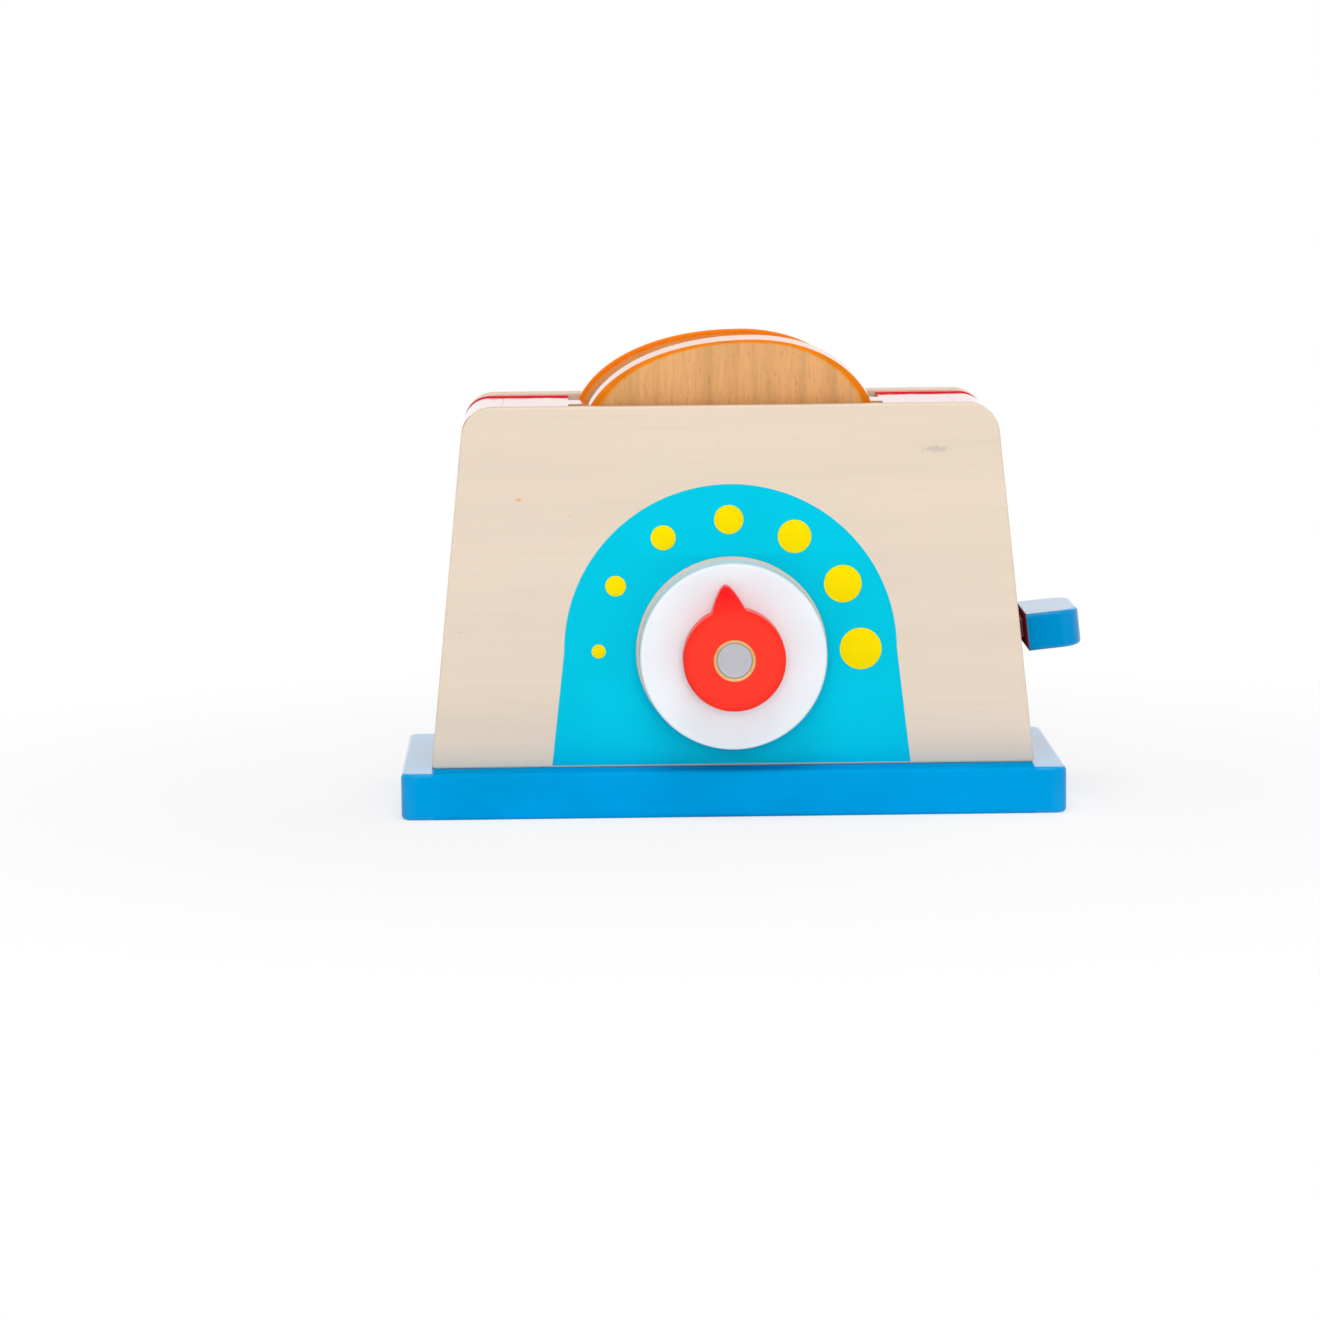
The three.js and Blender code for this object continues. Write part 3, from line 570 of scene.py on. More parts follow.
class Finish:
    """A material or the world, and the nodes that are added to it."""

    def __init__(self, name, world=False):
        self.owner = (bpy.data.worlds if world else bpy.data.materials).new(name)
        self.owner.use_nodes = True
        self.tree = self.owner.node_tree
        self.tree.nodes.clear()
        coordinates = self.add("ShaderNodeTexCoord").outputs
        self.place = coordinates["Generated" if world else "Object"]

    def feed(self, socket, value):
        """Gives an input a plain value or the output that feeds it."""
        if isinstance(value, bpy.types.NodeSocket):
            self.tree.links.new(value, socket)
        else:
            socket.default_value = value

    def add(self, kind, inputs=None, **settings):
        """Adds a node with its settings and inputs."""
        node = self.tree.nodes.new(kind)
        for key, value in settings.items():
            setattr(node, key, value)
        for key, value in (inputs or {}).items():
            self.feed(node.inputs[key], value)
        return node

    def stretched(self, scale):
        """Object coordinates times a scale for each axis."""
        inputs = {"Vector": self.place, "Scale": scale}
        return self.add("ShaderNodeMapping", inputs).outputs["Vector"]

    def noise(self, vector, scale=1.0, detail=3.0, roughness=0.5, distortion=0.0):
        """Noise value, about 0.5 on average."""
        inputs = {
            "Vector": vector, "Scale": scale, "Detail": detail,
            "Roughness": roughness, "Distortion": distortion,
        }
        return self.add("ShaderNodeTexNoise", inputs).outputs["Fac"]

    def remap(self, value, low, high, to_low=0.0, to_high=1.0, smooth=False):
        """Value carried from one range to another, and kept in it."""
        inputs = {
            "Value": value, "From Min": low, "From Max": high, "To Min": to_low, "To Max": to_high,
        }
        kind = "SMOOTHSTEP" if smooth else "LINEAR"
        return self.add("ShaderNodeMapRange", inputs, interpolation_type=kind).outputs["Result"]

    def between(self, part, none, full):
        """Number between two values, by a share from 0 to 1."""
        return self.remap(part, 0.0, 1.0, none, full)

    def math(self, operation, a, b=0.0, c=0.0):
        """Sum, product or another operation on two or three values."""
        inputs = {0: a, 1: b, 2: c}
        return self.add("ShaderNodeMath", inputs, operation=operation).outputs["Value"]

    def mix(self, factor, a, b):
        """Colour between a and b."""
        node = self.add("ShaderNodeMix", data_type="RGBA")
        for number, value in ((0, factor), (6, a), (7, b)):
            self.feed(node.inputs[number], value)
        return node.outputs[2]

    def tints(self, value, rgb, first, last, low=0.3, high=0.7):
        """A colour times a factor that goes from the first to the last as a value rises."""
        return self.mix(self.remap(value, low, high), linear(rgb, first), linear(rgb, last))

    def over(self, value, low, high, most, below, above):
        """A colour laid over another as a value rises, up to a share."""
        return self.mix(self.remap(value, low, high, 0.0, most), below, above)

    def axis(self, name):
        """One part of the object coordinates."""
        return self.add("ShaderNodeSeparateXYZ", {"Vector": self.place}).outputs[name]

    def distance(self, vector):
        """Length of a vector."""
        return self.add("ShaderNodeVectorMath", {0: vector}, operation="LENGTH").outputs["Value"]

    def value(self, name):
        """A value stored on the mesh's points."""
        return self.add("ShaderNodeAttribute", attribute_name=name).outputs["Fac"]

    def bump(self, height, distance, strength):
        """Bumps of a height given from 0 to 1 times a distance."""
        inputs = {"Height": height, "Distance": distance, "Strength": strength}
        return self.add("ShaderNodeBump", inputs).outputs["Normal"]

    def surface(self, **inputs):
        """The shader and the output; returns the material."""
        named = {key.replace("_", " "): value for key, value in inputs.items()}
        shader = self.add("ShaderNodeBsdfPrincipled", named)
        self.add("ShaderNodeOutputMaterial", {"Surface": shader.outputs["BSDF"]})
        return self.owner


def fine_grain(f, along, long, fine, detail=4.0):
    """Noise drawn out along one axis, as wood fibres are."""
    scale = [fine, fine, fine]
    scale[along] = long
    return f.noise(f.stretched(scale), 1.0, detail, 0.6)


def paint(name, rgb, along, coat_ior, matt, bare=None):
    """Glossy paint on wood: the fibres show faintly through it, and it varies a little in
    colour. matt adds the nodes of a share that is 1 where the paint is matt, and bare gives
    a colour laid over the paint and adds the nodes of its share: bare wood on the top board's
    slot walls, and on the lever knob's inner face a greyish maroon that is painted reflection
    of the red side wall in shade."""
    f = Finish(name)
    grain = fine_grain(f, along, 14.0, 420.0)
    base = f.tints(f.noise(f.place, 38.0), rgb, 0.93, 1.05)
    base = f.over(grain, 0.6, 0.82, 0.3, base, linear(rgb, 0.8))
    if bare:
        overlay_rgb, overlay_share = bare
        base = f.mix(overlay_share(f), base, linear(overlay_rgb))
    dull = matt(f)
    return f.surface(
        Base_Color=base, Roughness=f.between(dull, 0.12, 0.4), IOR=coat_ior,
        Normal=f.bump(grain, 0.000012, 0.3), Specular_IOR_Level=f.between(dull, 0.5, 0.0),
        Coat_Weight=f.between(dull, 0.9, 0.0), Coat_Roughness=0.05, Coat_IOR=coat_ior,
    )


def from_axis(f, centre):
    """Distance from the dial's axis, whose height is given."""
    up = f.math("SUBTRACT", f.axis("Z"), centre)
    squares = f.math("ADD", f.math("POWER", f.axis("X"), 2.0), f.math("POWER", up, 2.0))
    return f.math("SQRT", squares)


def plate_paint(name, colours, radius, centre):
    """Satin white paint on wood; on the plate's rim it turns a darker bluish grey, which is painted
    shade with a painted reflection of the cyan arch.
    """
    f = Finish(name)
    rgb = colours.white_paint
    broad = f.noise(f.place, 38.0)
    grain = fine_grain(f, 0, 14.0, 420.0)
    base = f.tints(broad, rgb, 0.95, 1.03)
    base = f.over(grain, 0.6, 0.82, 0.3, base, linear(rgb, 0.84))
    # Painted shade and painted cyan reflection on the plate's rim
    rim = f.remap(from_axis(f, centre), radius - 0.0006, radius - 0.0001)
    base = f.mix(rim, base, linear(colours.plate_rim_painted_shade))
    gloss = f.remap(broad, 0.25, 0.75, 0.22, 0.3)
    normal = f.bump(grain, 0.000025, 0.3)
    return f.surface(Base_Color=base, Roughness=gloss, Normal=normal, IOR=1.2)


def knob_paint(name, colours, sizes, centre):
    """Satin red paint, deeper on the pointer; the counterbore keeps its bare wood."""
    f = Finish(name)
    rgb = colours.knob_red
    grain = fine_grain(f, 0, 30.0, 600.0)
    broad = f.noise(f.place, 60.0)
    red = f.tints(broad, rgb, 0.95, 1.03)
    red = f.over(grain, 0.6, 0.85, 0.25, red, linear(rgb, 0.8))
    away = from_axis(f, centre)
    deep = f.remap(away, sizes.knob_radius - 0.004, sizes.pointer_reach - 0.002, smooth=True)
    red = f.mix(deep, red, linear(DEEP_RED))
    lip = sizes.counterbore_radius + sizes.counterbore_lip
    bare = f.remap(away, lip + 0.0001, lip - 0.0001)
    wood = f.mix(f.remap(grain, 0.4, 0.7), *[linear(shade) for shade in COUNTERBORE_WOOD])
    base = f.mix(bare, red, wood)
    gloss = f.remap(broad, 0.3, 0.7, 0.3, 0.4)
    normal = f.bump(grain, 0.00003, 0.3)
    return f.surface(Base_Color=base, Roughness=gloss, Normal=normal, IOR=1.25)


def core_matt(f, sizes, top):
    """Matt on the sides of the core, and on its top in an uneven strip along the back panel."""
    wander = f.remap(f.noise(f.place, 95.0, 3.0, 0.6), 0.3, 0.7, -MATT_WANDER, MATT_WANDER)
    place = f.math("ADD", f.axis("Y"), wander)
    begin, end = sizes.matt_from - MATT_BLUR, sizes.matt_from + MATT_BLUR
    strip = f.remap(place, begin, end, smooth=True)
    deepest, full = GLOSS_BELOW_TOP
    upper = f.remap(f.axis("Z"), top - deepest, top - full)
    return f.math("MULTIPLY_ADD", strip, upper, f.between(upper, SIDE_WALL_MATT, 0.0))


def base_matt(f, half, front):
    """Matt on the base board's sides between its corners, and on its top in the strip in front
    of the body, whose half width and front are given."""
    across = f.math("ABSOLUTE", f.axis("X"))
    begin, full = GLOSS_BESIDE_BODY
    beside = f.remap(across, half + begin, half + full, 1.0, 0.0)
    sides = f.math("MULTIPLY", f.value("side"), beside)
    inside = f.remap(across, half - 0.001, half, 1.0, 0.0)
    ahead = f.remap(f.axis("Y"), front - 0.0005, front, 1.0, 0.0)
    return f.math("MAXIMUM", sides, f.math("MULTIPLY", inside, ahead))


def along_lever(f, sizes):
    """Distance from the lever knob's inner face, along the knob: x cos a + z sin a, less the
    same for the face's middle."""
    lean = side_lean(sizes)
    foot = sizes.lever_face * math.cos(lean) + sizes.lever_height * math.sin(lean)
    reach = f.math("MULTIPLY_ADD", f.axis("X"), math.cos(lean), -foot)
    return f.math("MULTIPLY_ADD", f.axis("Z"), math.sin(lean), reach)


def lever_inner(f, sizes):
    """Share that is 1 on the lever knob's inner face, which is matt and takes a painted reflection
    of the red wall in shade.
    """
    return f.remap(along_lever(f, sizes), *LEVER_FACE_BLUR, 1.0, 0.0)


def lever_matt(f, sizes):
    """Matt on the lever knob's inner face and on the sides up to its round end."""
    end = f.remap(along_lever(f, sizes), *GLOSS_ON_LEVER, 1.0, 0.0)
    return f.math("MAXIMUM", f.math("MULTIPLY", f.value("side"), end), lever_inner(f, sizes))


def layer_paint(name, rgb, roughness):
    """Thin matt printed paint over plywood: even, with the board's fibres just visible in it."""
    f = Finish(name)
    grain = fine_grain(f, 0, 12.0, 500.0)
    base = f.tints(f.noise(f.place, 26.0, 2.0), rgb, 0.96, 1.02)
    base = f.over(grain, 0.6, 0.85, 0.2, base, linear(rgb, 0.86))
    gloss = f.remap(grain, 0.3, 0.7, roughness - 0.05, roughness + 0.05)
    normal = f.bump(grain, 0.00003, 0.3)
    return f.surface(Base_Color=base, Roughness=gloss, Normal=normal, IOR=1.1)


def plywood(name, colours, spots):
    """Pale varnished plywood: faint level bands, fine fibres, small dark pores and spots on the
    faces, and light and dark plies on the edges."""
    f = Finish(name)
    pale, dark = colours.plywood, colours.ply_dark
    bands = f.noise(f.stretched((5.0, 30.0, 62.0)), 1.0, 4.0, 0.55, 0.4)
    fibres = fine_grain(f, 0, 16.0, 700.0, 5.0)
    pores = f.noise(f.stretched((170.0, 900.0, 1500.0)), 1.0, 2.0)
    face = f.tints(bands, pale, 1.03, 0.95, 0.3, 0.72)
    face = f.over(f.noise(f.place, 14.0, 2.0), 0.35, 0.7, 0.4, face, linear(PLY_CLOUD))
    face = f.over(fibres, 0.5, 0.8, 0.3, face, linear(pale, 0.84))
    face = f.over(pores, 0.72, 0.78, 0.4, face, linear(PORE_BROWN))
    for middle, size, rgb, strength in spots:
        spot = f.add("ShaderNodeMapping", {
            "Vector": f.place,
            "Location": [-c / s for c, s in zip(middle, size)],
            "Scale": [1 / s for s in size],
        }).outputs["Vector"]
        ragged = f.remap(f.noise(f.place, 900.0), 0.3, 0.7, -0.35, 0.35)
        away = f.math("ADD", f.distance(spot), ragged)
        face = f.mix(f.remap(away, 0.4, 1.1, strength, 0.0, True), face, linear(rgb))
    plies = f.math("SINE", f.math("MULTIPLY", f.axis("Y"), TURN / PLY_PAIR))
    ends = f.mix(f.remap(plies, -0.15, 0.15), linear(pale, 0.97), linear(dark))
    ticks = f.noise(f.stretched((900.0, 300.0, 900.0)))
    ends = f.over(ticks, 0.5, 0.8, 0.4, ends, linear(dark, 0.75))
    base = f.mix(f.remap(f.value("side"), 0.6, 0.95), face, ends)
    gloss = f.remap(bands, 0.3, 0.7, 0.42, 0.55)
    normal = f.bump(fibres, 0.00005, 0.4)
    return f.surface(Base_Color=base, Roughness=gloss, Normal=normal, IOR=1.35)


def bare_wood(name, rgb, along):
    """Sanded bare wood: broad rings and fine dark fibres along the piece, and no varnish."""
    f = Finish(name)
    scale = [160.0, 160.0, 160.0]
    scale[along] = 9.0
    rings = f.noise(f.stretched(scale), 1.0, 3.0, 0.5, 0.8)
    fibres = fine_grain(f, along, 30.0, 1500.0)
    base = f.tints(rings, rgb, 1.06, 0.84)
    base = f.over(fibres, 0.52, 0.75, 0.5, base, linear(rgb, 0.66))
    gloss = f.remap(fibres, 0.3, 0.7, 0.55, 0.72)
    normal = f.bump(fibres, 0.00006, 0.5)
    return f.surface(Base_Color=base, Roughness=gloss, Normal=normal, IOR=1.45)


def toast_finish(name, colours, rim_colour, rim_inner, patches):
    """Toasted slice: upright fibres and darker streaks on the faces, and an orange painted rim
    that is full at the edge and fades inwards on the face. patches is how dark its clouds are."""
    f = Finish(name)
    rgb = colours.toast_wood
    streaks = f.noise(f.stretched((210.0, 60.0, 9.0)), 1.0, 4.0, 0.6, 0.3)
    fibres = fine_grain(f, 2, 42.0, 1500.0)
    ticks = f.noise(f.stretched((2300.0, 500.0, 190.0)), 1.0, 2.0)
    face = f.tints(streaks, rgb, 1.1, 0.84, 0.32, 0.7)
    face = f.over(fibres, 0.48, 0.75, 0.45, face, linear(rgb, 0.66))
    face = f.over(ticks, 0.66, 0.72, 0.5, face, linear(TICK_BROWN))
    wander = f.remap(f.noise(f.place, 420.0), 0.3, 0.7, -0.12, 0.12)
    inside = f.math("ADD", f.value("rim"), wander)
    orange = f.tints(f.noise(f.place, 120.0), rim_colour, 1.05, patches)
    orange = f.mix(f.remap(inside, 0.5, 1.3, smooth=True), orange, linear(rim_inner))
    base = f.mix(f.remap(inside, 0.6, 1.6, 1.0, 0.0, True), face, orange)
    edge = f.value("side")
    return f.surface(
        Base_Color=base, Roughness=f.between(edge, 0.45, 0.08), IOR=1.4,
        Normal=f.bump(fibres, 0.00004, 0.3), Specular_IOR_Level=f.between(edge, 0.12, 0.5),
        Coat_Weight=f.between(edge, 0.0, 1.0), Coat_Roughness=0.06, Coat_IOR=1.7,
    )


def plastic(name, rgb, roughness):
    """Moulded plastic: fine even texture and faint flow marks."""
    f = Finish(name)
    speck = f.noise(f.place, 2600.0, 2.0)
    base = f.tints(f.noise(f.place, 190.0, 3.0, 0.5, 1.2), rgb, 0.96, 1.03)
    gloss = f.remap(speck, 0.3, 0.7, roughness - 0.04, roughness + 0.06)
    normal = f.bump(speck, 0.00002, 0.5)
    return f.surface(Base_Color=base, Roughness=gloss, Normal=normal, IOR=1.4)


def zinc_steel(name, rgb):
    """Zinc-plated steel: fine drawn lines and cloudy gloss."""
    f = Finish(name)
    cloud = f.noise(f.place, 420.0, 4.0, 0.6)
    lines = f.noise(f.stretched((2600.0, 2600.0, 700.0)))
    gloss = f.remap(cloud, 0.3, 0.7, 0.24, 0.4)
    normal = f.bump(lines, 0.00001, 0.5)
    base = f.tints(cloud, rgb, 0.9, 1.1)
    return f.surface(Base_Color=base, Metallic=1.0, Roughness=gloss, Normal=normal)


MATERIALS = {}


def finish(name, make, *values):
    """A finish that is made once and then shared by its pieces."""
    if name not in MATERIALS:
        MATERIALS[name] = make(name, *values)
    return MATERIALS[name]


def wood_for(colours, along):
    """Bare wood with its fibres along one axis."""
    return finish(f"bare_wood_{'xyz'[along]}", bare_wood, colours.bare_wood, along)


# Pieces


def sizes_and_colours(context):
    """The sizes and colours that the scene holds."""
    return context.scene.toaster_sizes, context.scene.toaster_colours


def half_width(sizes, rise):
    """Half the width of the flared body: it falls evenly with the height above the base."""
    low, high = node_box("front_panel")
    return high[0] - rise * sizes.body_taper / (high[2] - low[2])


def side_lean(sizes):
    """Angle of the body's sides from upright."""
    low, high = node_box("front_panel")
    return math.atan2(sizes.body_taper, high[2] - low[2])


def dial_height():
    """Height of the dial's axis."""
    low, high = node_box("dial_plate")
    return (low[2] + high[2]) / 2


def rod_sockets(sizes, low, high):
    """Cutting shells for the guide rods' ends in a piece with these corners."""
    cutters = []
    for side in SIDES:
        rod_low, rod_high = node_box(f"{side}_guide_rod")
        bottom = max(rod_low[2], low[2]) - sizes.clearance
        top = min(rod_high[2], high[2]) + sizes.clearance
        radius = sizes.rod_radius + sizes.clearance
        cutters.append(bore_tool((rod_low + rod_high) / 2, radius, bottom, top, 32))
    return cutters


class Screw:
    """Where a screw lies and how large it is, from its node's name and box."""

    def __init__(self, node):
        low, high = node_box(node)
        long = node in BASE_SCREWS
        self.axis = 2 if long else 0
        self.head, self.head_height, self.radius = LONG_SCREW if long else SMALL_SCREW
        self.sign = 1
        if not long and (node in SHELF_SCREWS) == (low[0] + high[0] > 0):
            self.sign = -1
        self.middle = (low + high) / 2
        self.reach = (high - low)[self.axis]
        self.start = (low if self.sign > 0 else high)[self.axis]

    def place(self, u, v, h):
        """Points at u and v across the screw, at the height h from its head."""
        first, second = [(self.axis + step) % 3 for step in (1, 2)]
        points = np.tile(self.middle, (len(u), 1))
        points[:, self.axis] = self.start + self.sign * h
        points[:, first] += u
        points[:, second] += v
        return points


def screw_tools(sizes, nodes):
    """Cutting shells for countersunk screw holes, open above the head."""
    cutters = []
    for node in nodes:
        screw = Screw(node)
        head, hole = screw.head + sizes.clearance, screw.radius + sizes.clearance
        profile = [(head, -BORE_OVERCUT), (head, 0)]
        profile += [(hole, screw.head_height), (hole, screw.reach + sizes.clearance)]
        cutters.append(Shell().lathe(profile, screw.place, 24))
    return cutters


class TOASTER_OT_base_board(bpy.types.Operator):
    """Blue base board with screw holes and rod sockets"""

    bl_idname = "toaster.base_board"
    bl_label = "Base board"
    bl_options = {"REGISTER", "UNDO"}

    def execute(self, context):
        sizes, colours = sizes_and_colours(context)
        low, high = node_box("base_board")
        x, y = high[0], high[1]
        loop, normals = rectangle(-x, x, -y, y, sizes.base_corner, 12)
        profile = edge_profile(high[2], sizes.base_rounding, 6, BASE_ROWS)
        shell = Shell().slab(loop, normals, profile, level)
        body_low, body_high = node_box("front_panel")
        material = finish("blue_paint", paint, colours.blue_paint, 0, 1.18,
                          lambda f: base_matt(f, body_high[0], body_low[1]))
        piece = add_piece("base_board_wood", shell, material, "body", "blue_paint", "base_board")
        carve(piece, screw_tools(sizes, BASE_SCREWS) + rod_sockets(sizes, low, high))
        return {"FINISHED"}


class TOASTER_OT_panels(bpy.types.Operator):
    """Front and back plywood panels"""

    bl_idname = "toaster.panels"
    bl_label = "Panels"
    bl_options = {"REGISTER", "UNDO"}

    def execute(self, context):
        sizes, colours = sizes_and_colours(context)
        for name, spots in PANEL_SPOTS.items():
            low, high = node_box(f"{name}_panel")
            foot, top = high[0], high[0] - sizes.body_taper
            small = sizes.panel_rounding + PANEL_FOOT_CORNER
            loop, normals = rounded_outline([
                (-foot, low[2], small), (foot, low[2], small),
                (top, high[2], sizes.panel_corner), (-top, high[2], sizes.panel_corner),
            ], 14)
            bores = [(0.0, dial_height(), sizes.bore_radius)] if name == "front" else []
            profile = edge_profile(high[1] - low[1], sizes.panel_rounding, 5)
            shell = Shell().slab(loop, normals, profile, upright(high[1]), bores)
            material = finish(f"{name}_plywood", plywood, colours, spots)
            add_piece(f"{name}_panel_ply", shell, material, "body", "plywood", f"{name}_panel")
        return {"FINISHED"}


class TOASTER_OT_side_walls(bpy.types.Operator):
    """Red side walls, the right one with the lever's slot"""

    bl_idname = "toaster.side_walls"
    bl_label = "Side walls"
    bl_options = {"REGISTER", "UNDO"}

    def execute(self, context):
        sizes, colours = sizes_and_colours(context)
        _, core = node_box("top_board")
        material = finish("red_paint_upright", paint, colours.red_paint, 2, 1.35,
                          lambda f: core_matt(f, sizes, core[2]))
        run = sizes.wall_thickness / math.cos(side_lean(sizes))
        small = 1.5 * sizes.board_rounding
        for name in SIDES:
            low, high = node_box(f"{name}_side_wall")
            foot, top = half_width(sizes, 0), half_width(sizes, high[2] - low[2])
            corners = [
                (foot - run, low[2], small), (foot, low[2], small),
                (top, high[2], sizes.core_corner), (top - run, high[2], sizes.joint_rounding),
            ]
            if name == "left":
                corners = [(-u, v, r) for u, v, r in reversed(corners)]
            loop, normals = rounded_outline(corners, 12)
            profile = edge_profile(high[1] - low[1], sizes.board_rounding, 3)
            shell = Shell().slab(loop, normals, profile, upright(high[1]))
            piece = add_piece(f"{name}_wall_wood", shell, material, "body", "red_paint",
                              f"{name}_side_wall")
            slot = [self.slot_tool(sizes)] if name == "right" else []
            carve(piece, screw_tools(sizes, BASE_SCREWS) + slot)
        return {"FINISHED"}

    def slot_tool(self, sizes):
        """Upright slot, high enough for the sloping stem over its whole travel."""
        lean = side_lean(sizes)
        run = sizes.wall_thickness / math.cos(lean)
        low, _ = node_box("front_panel")
        middle = half_width(sizes, sizes.lever_height - low[2]) - run / 2
        stem = sizes.lever_height - (sizes.lever_face - middle) * math.tan(lean)
        half_height = sizes.stem_thickness / 2 + LEVER_SLOT_ROOM + run * math.tan(lean)
        half = sizes.stem_width / 2 + LEVER_SLOT_ROOM
        bottom, top = stem - sizes.carriage_travel - half_height, stem + half_height
        loop, normals = rectangle(-half, half, bottom, top, LEVER_SLOT_CORNER, 6)
        start, depth = LEVER_SLOT_CUT
        profile = edge_profile(depth, 0.0001, 1)
        return Shell().slab(loop, normals, profile, sideways(start))


class TOASTER_OT_top_board(bpy.types.Operator):
    """Red top board with its two notches, and the board that keeps the slices apart"""

    bl_idname = "toaster.top_board"
    bl_label = "Top board"
    bl_options = {"REGISTER", "UNDO"}

    def execute(self, context):
        sizes, colours = sizes_and_colours(context)
        low, high = node_box("top_board")
        end, y = high[0] + sizes.joint_gap, high[1]
        bridge = y - sizes.slot_depth
        x0 = sizes.slot_offset - sizes.slot_length / 2
        x1 = sizes.slot_offset + sizes.slot_length / 2
        r, s = sizes.slot_corner, 1.5 * sizes.joint_rounding
        loop, normals = rounded_outline([
            (-end, -y, s), (x0, -y, s), (x0, -bridge, r), (x1, -bridge, r), (x1, -y, s),
            (end, -y, s), (end, y, s), (x1, y, s), (x1, bridge, r), (x0, bridge, r), (x0, y, s),
            (-end, y, s),
        ], 6)
        slope = math.tan(side_lean(sizes))

        def place(u, v, h):
            """Lays the outline flat; beyond END_FROM, the ends draw in with the height."""
            drawn_in = np.where(np.abs(u) > END_FROM, np.sign(u) * h * slope, 0.0)
            return np.stack([u - drawn_in, v, np.full_like(u, low[2] + h)], axis=1)

        profile = edge_profile(high[2] - low[2], sizes.joint_rounding, 3)
        shell = Shell().slab(loop, normals, profile, place)
        material = finish("red_paint_level", paint, colours.red_paint, 0, 1.35,
                          lambda f: core_matt(f, sizes, high[2]),
                          (colours.bare_wood, lambda f: f.value("side")))
        piece = add_piece("top_board_wood", shell, material, "body", "red_paint", "top_board")
        carve(piece, rod_sockets(sizes, low, high))
        divider = board(node_box("slot_divider"), sizes.board_rounding, 1)
        add_piece("slot_divider_wood", divider, wood_for(colours, 0), "body", "bare_wood",
                  "slot_divider")
        return {"FINISHED"}


class TOASTER_OT_painted_marks(bpy.types.Operator):
    """Cyan arch and growing yellow dots on the front panel"""

    bl_idname = "toaster.painted_marks"
    bl_label = "Painted marks"
    bl_options = {"REGISTER", "UNDO"}

    def execute(self, context):
        sizes, colours = sizes_and_colours(context)
        panel, _ = node_box("front_panel")
        middle = dial_height() + sizes.marks_rise
        layer = sizes.paint_layer
        profile = edge_profile(layer, layer / 3, 2, ())
        self.arch(sizes, colours, panel, middle, profile)
        dots = Shell()
        for i in range(sizes.dot_count):
            angle = math.pi * (1 - i / (sizes.dot_count - 1))
            radius = sizes.dot_first if i == 0 else sizes.dot_second + (i - 1) * sizes.dot_step
            u = sizes.dots_offset + sizes.dot_ring * math.cos(angle)
            v = middle + sizes.dot_ring * math.sin(angle)
            dots.slab(*circle(radius, 64, (u, v)), profile, upright(panel[1] - layer))
        material = finish("dot_paint", layer_paint, colours.dot_paint, 0.45)
        add_piece("heat_dots_paint", dots, material, "body", "dot_paint")
        return {"FINISHED"}

    def arch(self, sizes, colours, panel, middle, profile):
        """Half circle x + r cos t, z + r sin t on two sides that spread to the foot."""
        x, r = sizes.arch_offset, sizes.arch_radius
        foot = panel[2] + sizes.panel_rounding
        angles = np.linspace(0, math.pi, 97)
        dome = np.stack([x + r * np.cos(angles), middle + r * np.sin(angles)], axis=1)
        wide = r + sizes.arch_spread
        loop = np.concatenate([[[x - wide, foot], [x + wide, foot]], dome])
        normals = smooth_normals(loop)
        normals[:2] = [(-1, -1), (1, -1)]
        hole = (ARCH_HOLE_OFFSET, dial_height(), sizes.arch_inner)
        shell = Shell().slab(loop, normals, profile, upright(panel[1]), [hole])
        material = finish("arch_paint", layer_paint, colours.arch_paint, 0.45)
        add_piece("dial_arch_paint", shell, material, "body", "arch_paint")


class TOASTER_OT_dial_plate(bpy.types.Operator):
    """Thick white disc under the knob"""

    bl_idname = "toaster.dial_plate"
    bl_label = "Dial plate"
    bl_options = {"REGISTER", "UNDO"}

    def execute(self, context):
        sizes, colours = sizes_and_colours(context)
        low, high = node_box("dial_plate")
        radius, thickness = high[0], high[1] - low[1]
        centre = dial_height()
        bore, r, c = sizes.bore_radius, sizes.plate_rounding, CHAMFER
        a = np.linspace(0, QUARTER, 8)
        rounded = np.stack([radius - r * (1 - np.cos(a)), thickness - r * (1 - np.sin(a))], axis=1)
        profile = np.concatenate([
            [[bore, 0.0], [radius - c, 0.0], [radius, c], [radius, thickness / 2],
             [radius, thickness - 1.3 * r]],
            rounded,
            [[radius - r - PLATE_ROW, thickness], [0.6 * radius, thickness], [bore, thickness]],
        ])
        shell = Shell().lathe(profile, moved(upright(high[1]), (0, 0, centre)), 160, True)
        material = finish("white_paint", plate_paint, colours, radius, centre)
        add_piece("dial_plate_wood", shell, material, "body", "white_paint", "dial_plate")
        return {"FINISHED"}


def knob_outline(sizes):
    """Outline of the knob: a circle, and a pointer of two cubic curves that meet at the tip.

    A curve's point is (1-t)^3 p0 + 3 (1-t)^2 t p1 + 3 (1-t) t^2 p2 + t^3 p3, with p0 on the
    circle at half the pointer's width, p3 at the tip and the other two as shares of these.
    """
    radius, reach, half = sizes.knob_radius, sizes.pointer_reach, sizes.pointer_half_width
    foot_angle = math.acos(half / radius)
    foot = radius * math.sin(foot_angle)
    knee = (half * POINTER_KNEE[0], foot + POINTER_KNEE[1] * (reach - foot))
    shoulder = (half * POINTER_SHOULDER, reach)
    angles = np.linspace(math.pi - foot_angle, TURN + foot_angle, 120)
    arc = np.stack([radius * np.cos(angles), radius * np.sin(angles)], axis=1)
    t = np.linspace(0, 1, 25)[1:, None]
    weights = [(1 - t) ** 3, 3 * (1 - t) ** 2 * t, 3 * (1 - t) * t**2, t**3]
    pulls = [(half, foot), knee, shoulder, (0, reach)]
    rise = sum(weight * np.array(point) for weight, point in zip(weights, pulls))
    fall = (rise * [-1, 1])[::-1]
    return np.concatenate([arc, rise, fall[1:]])


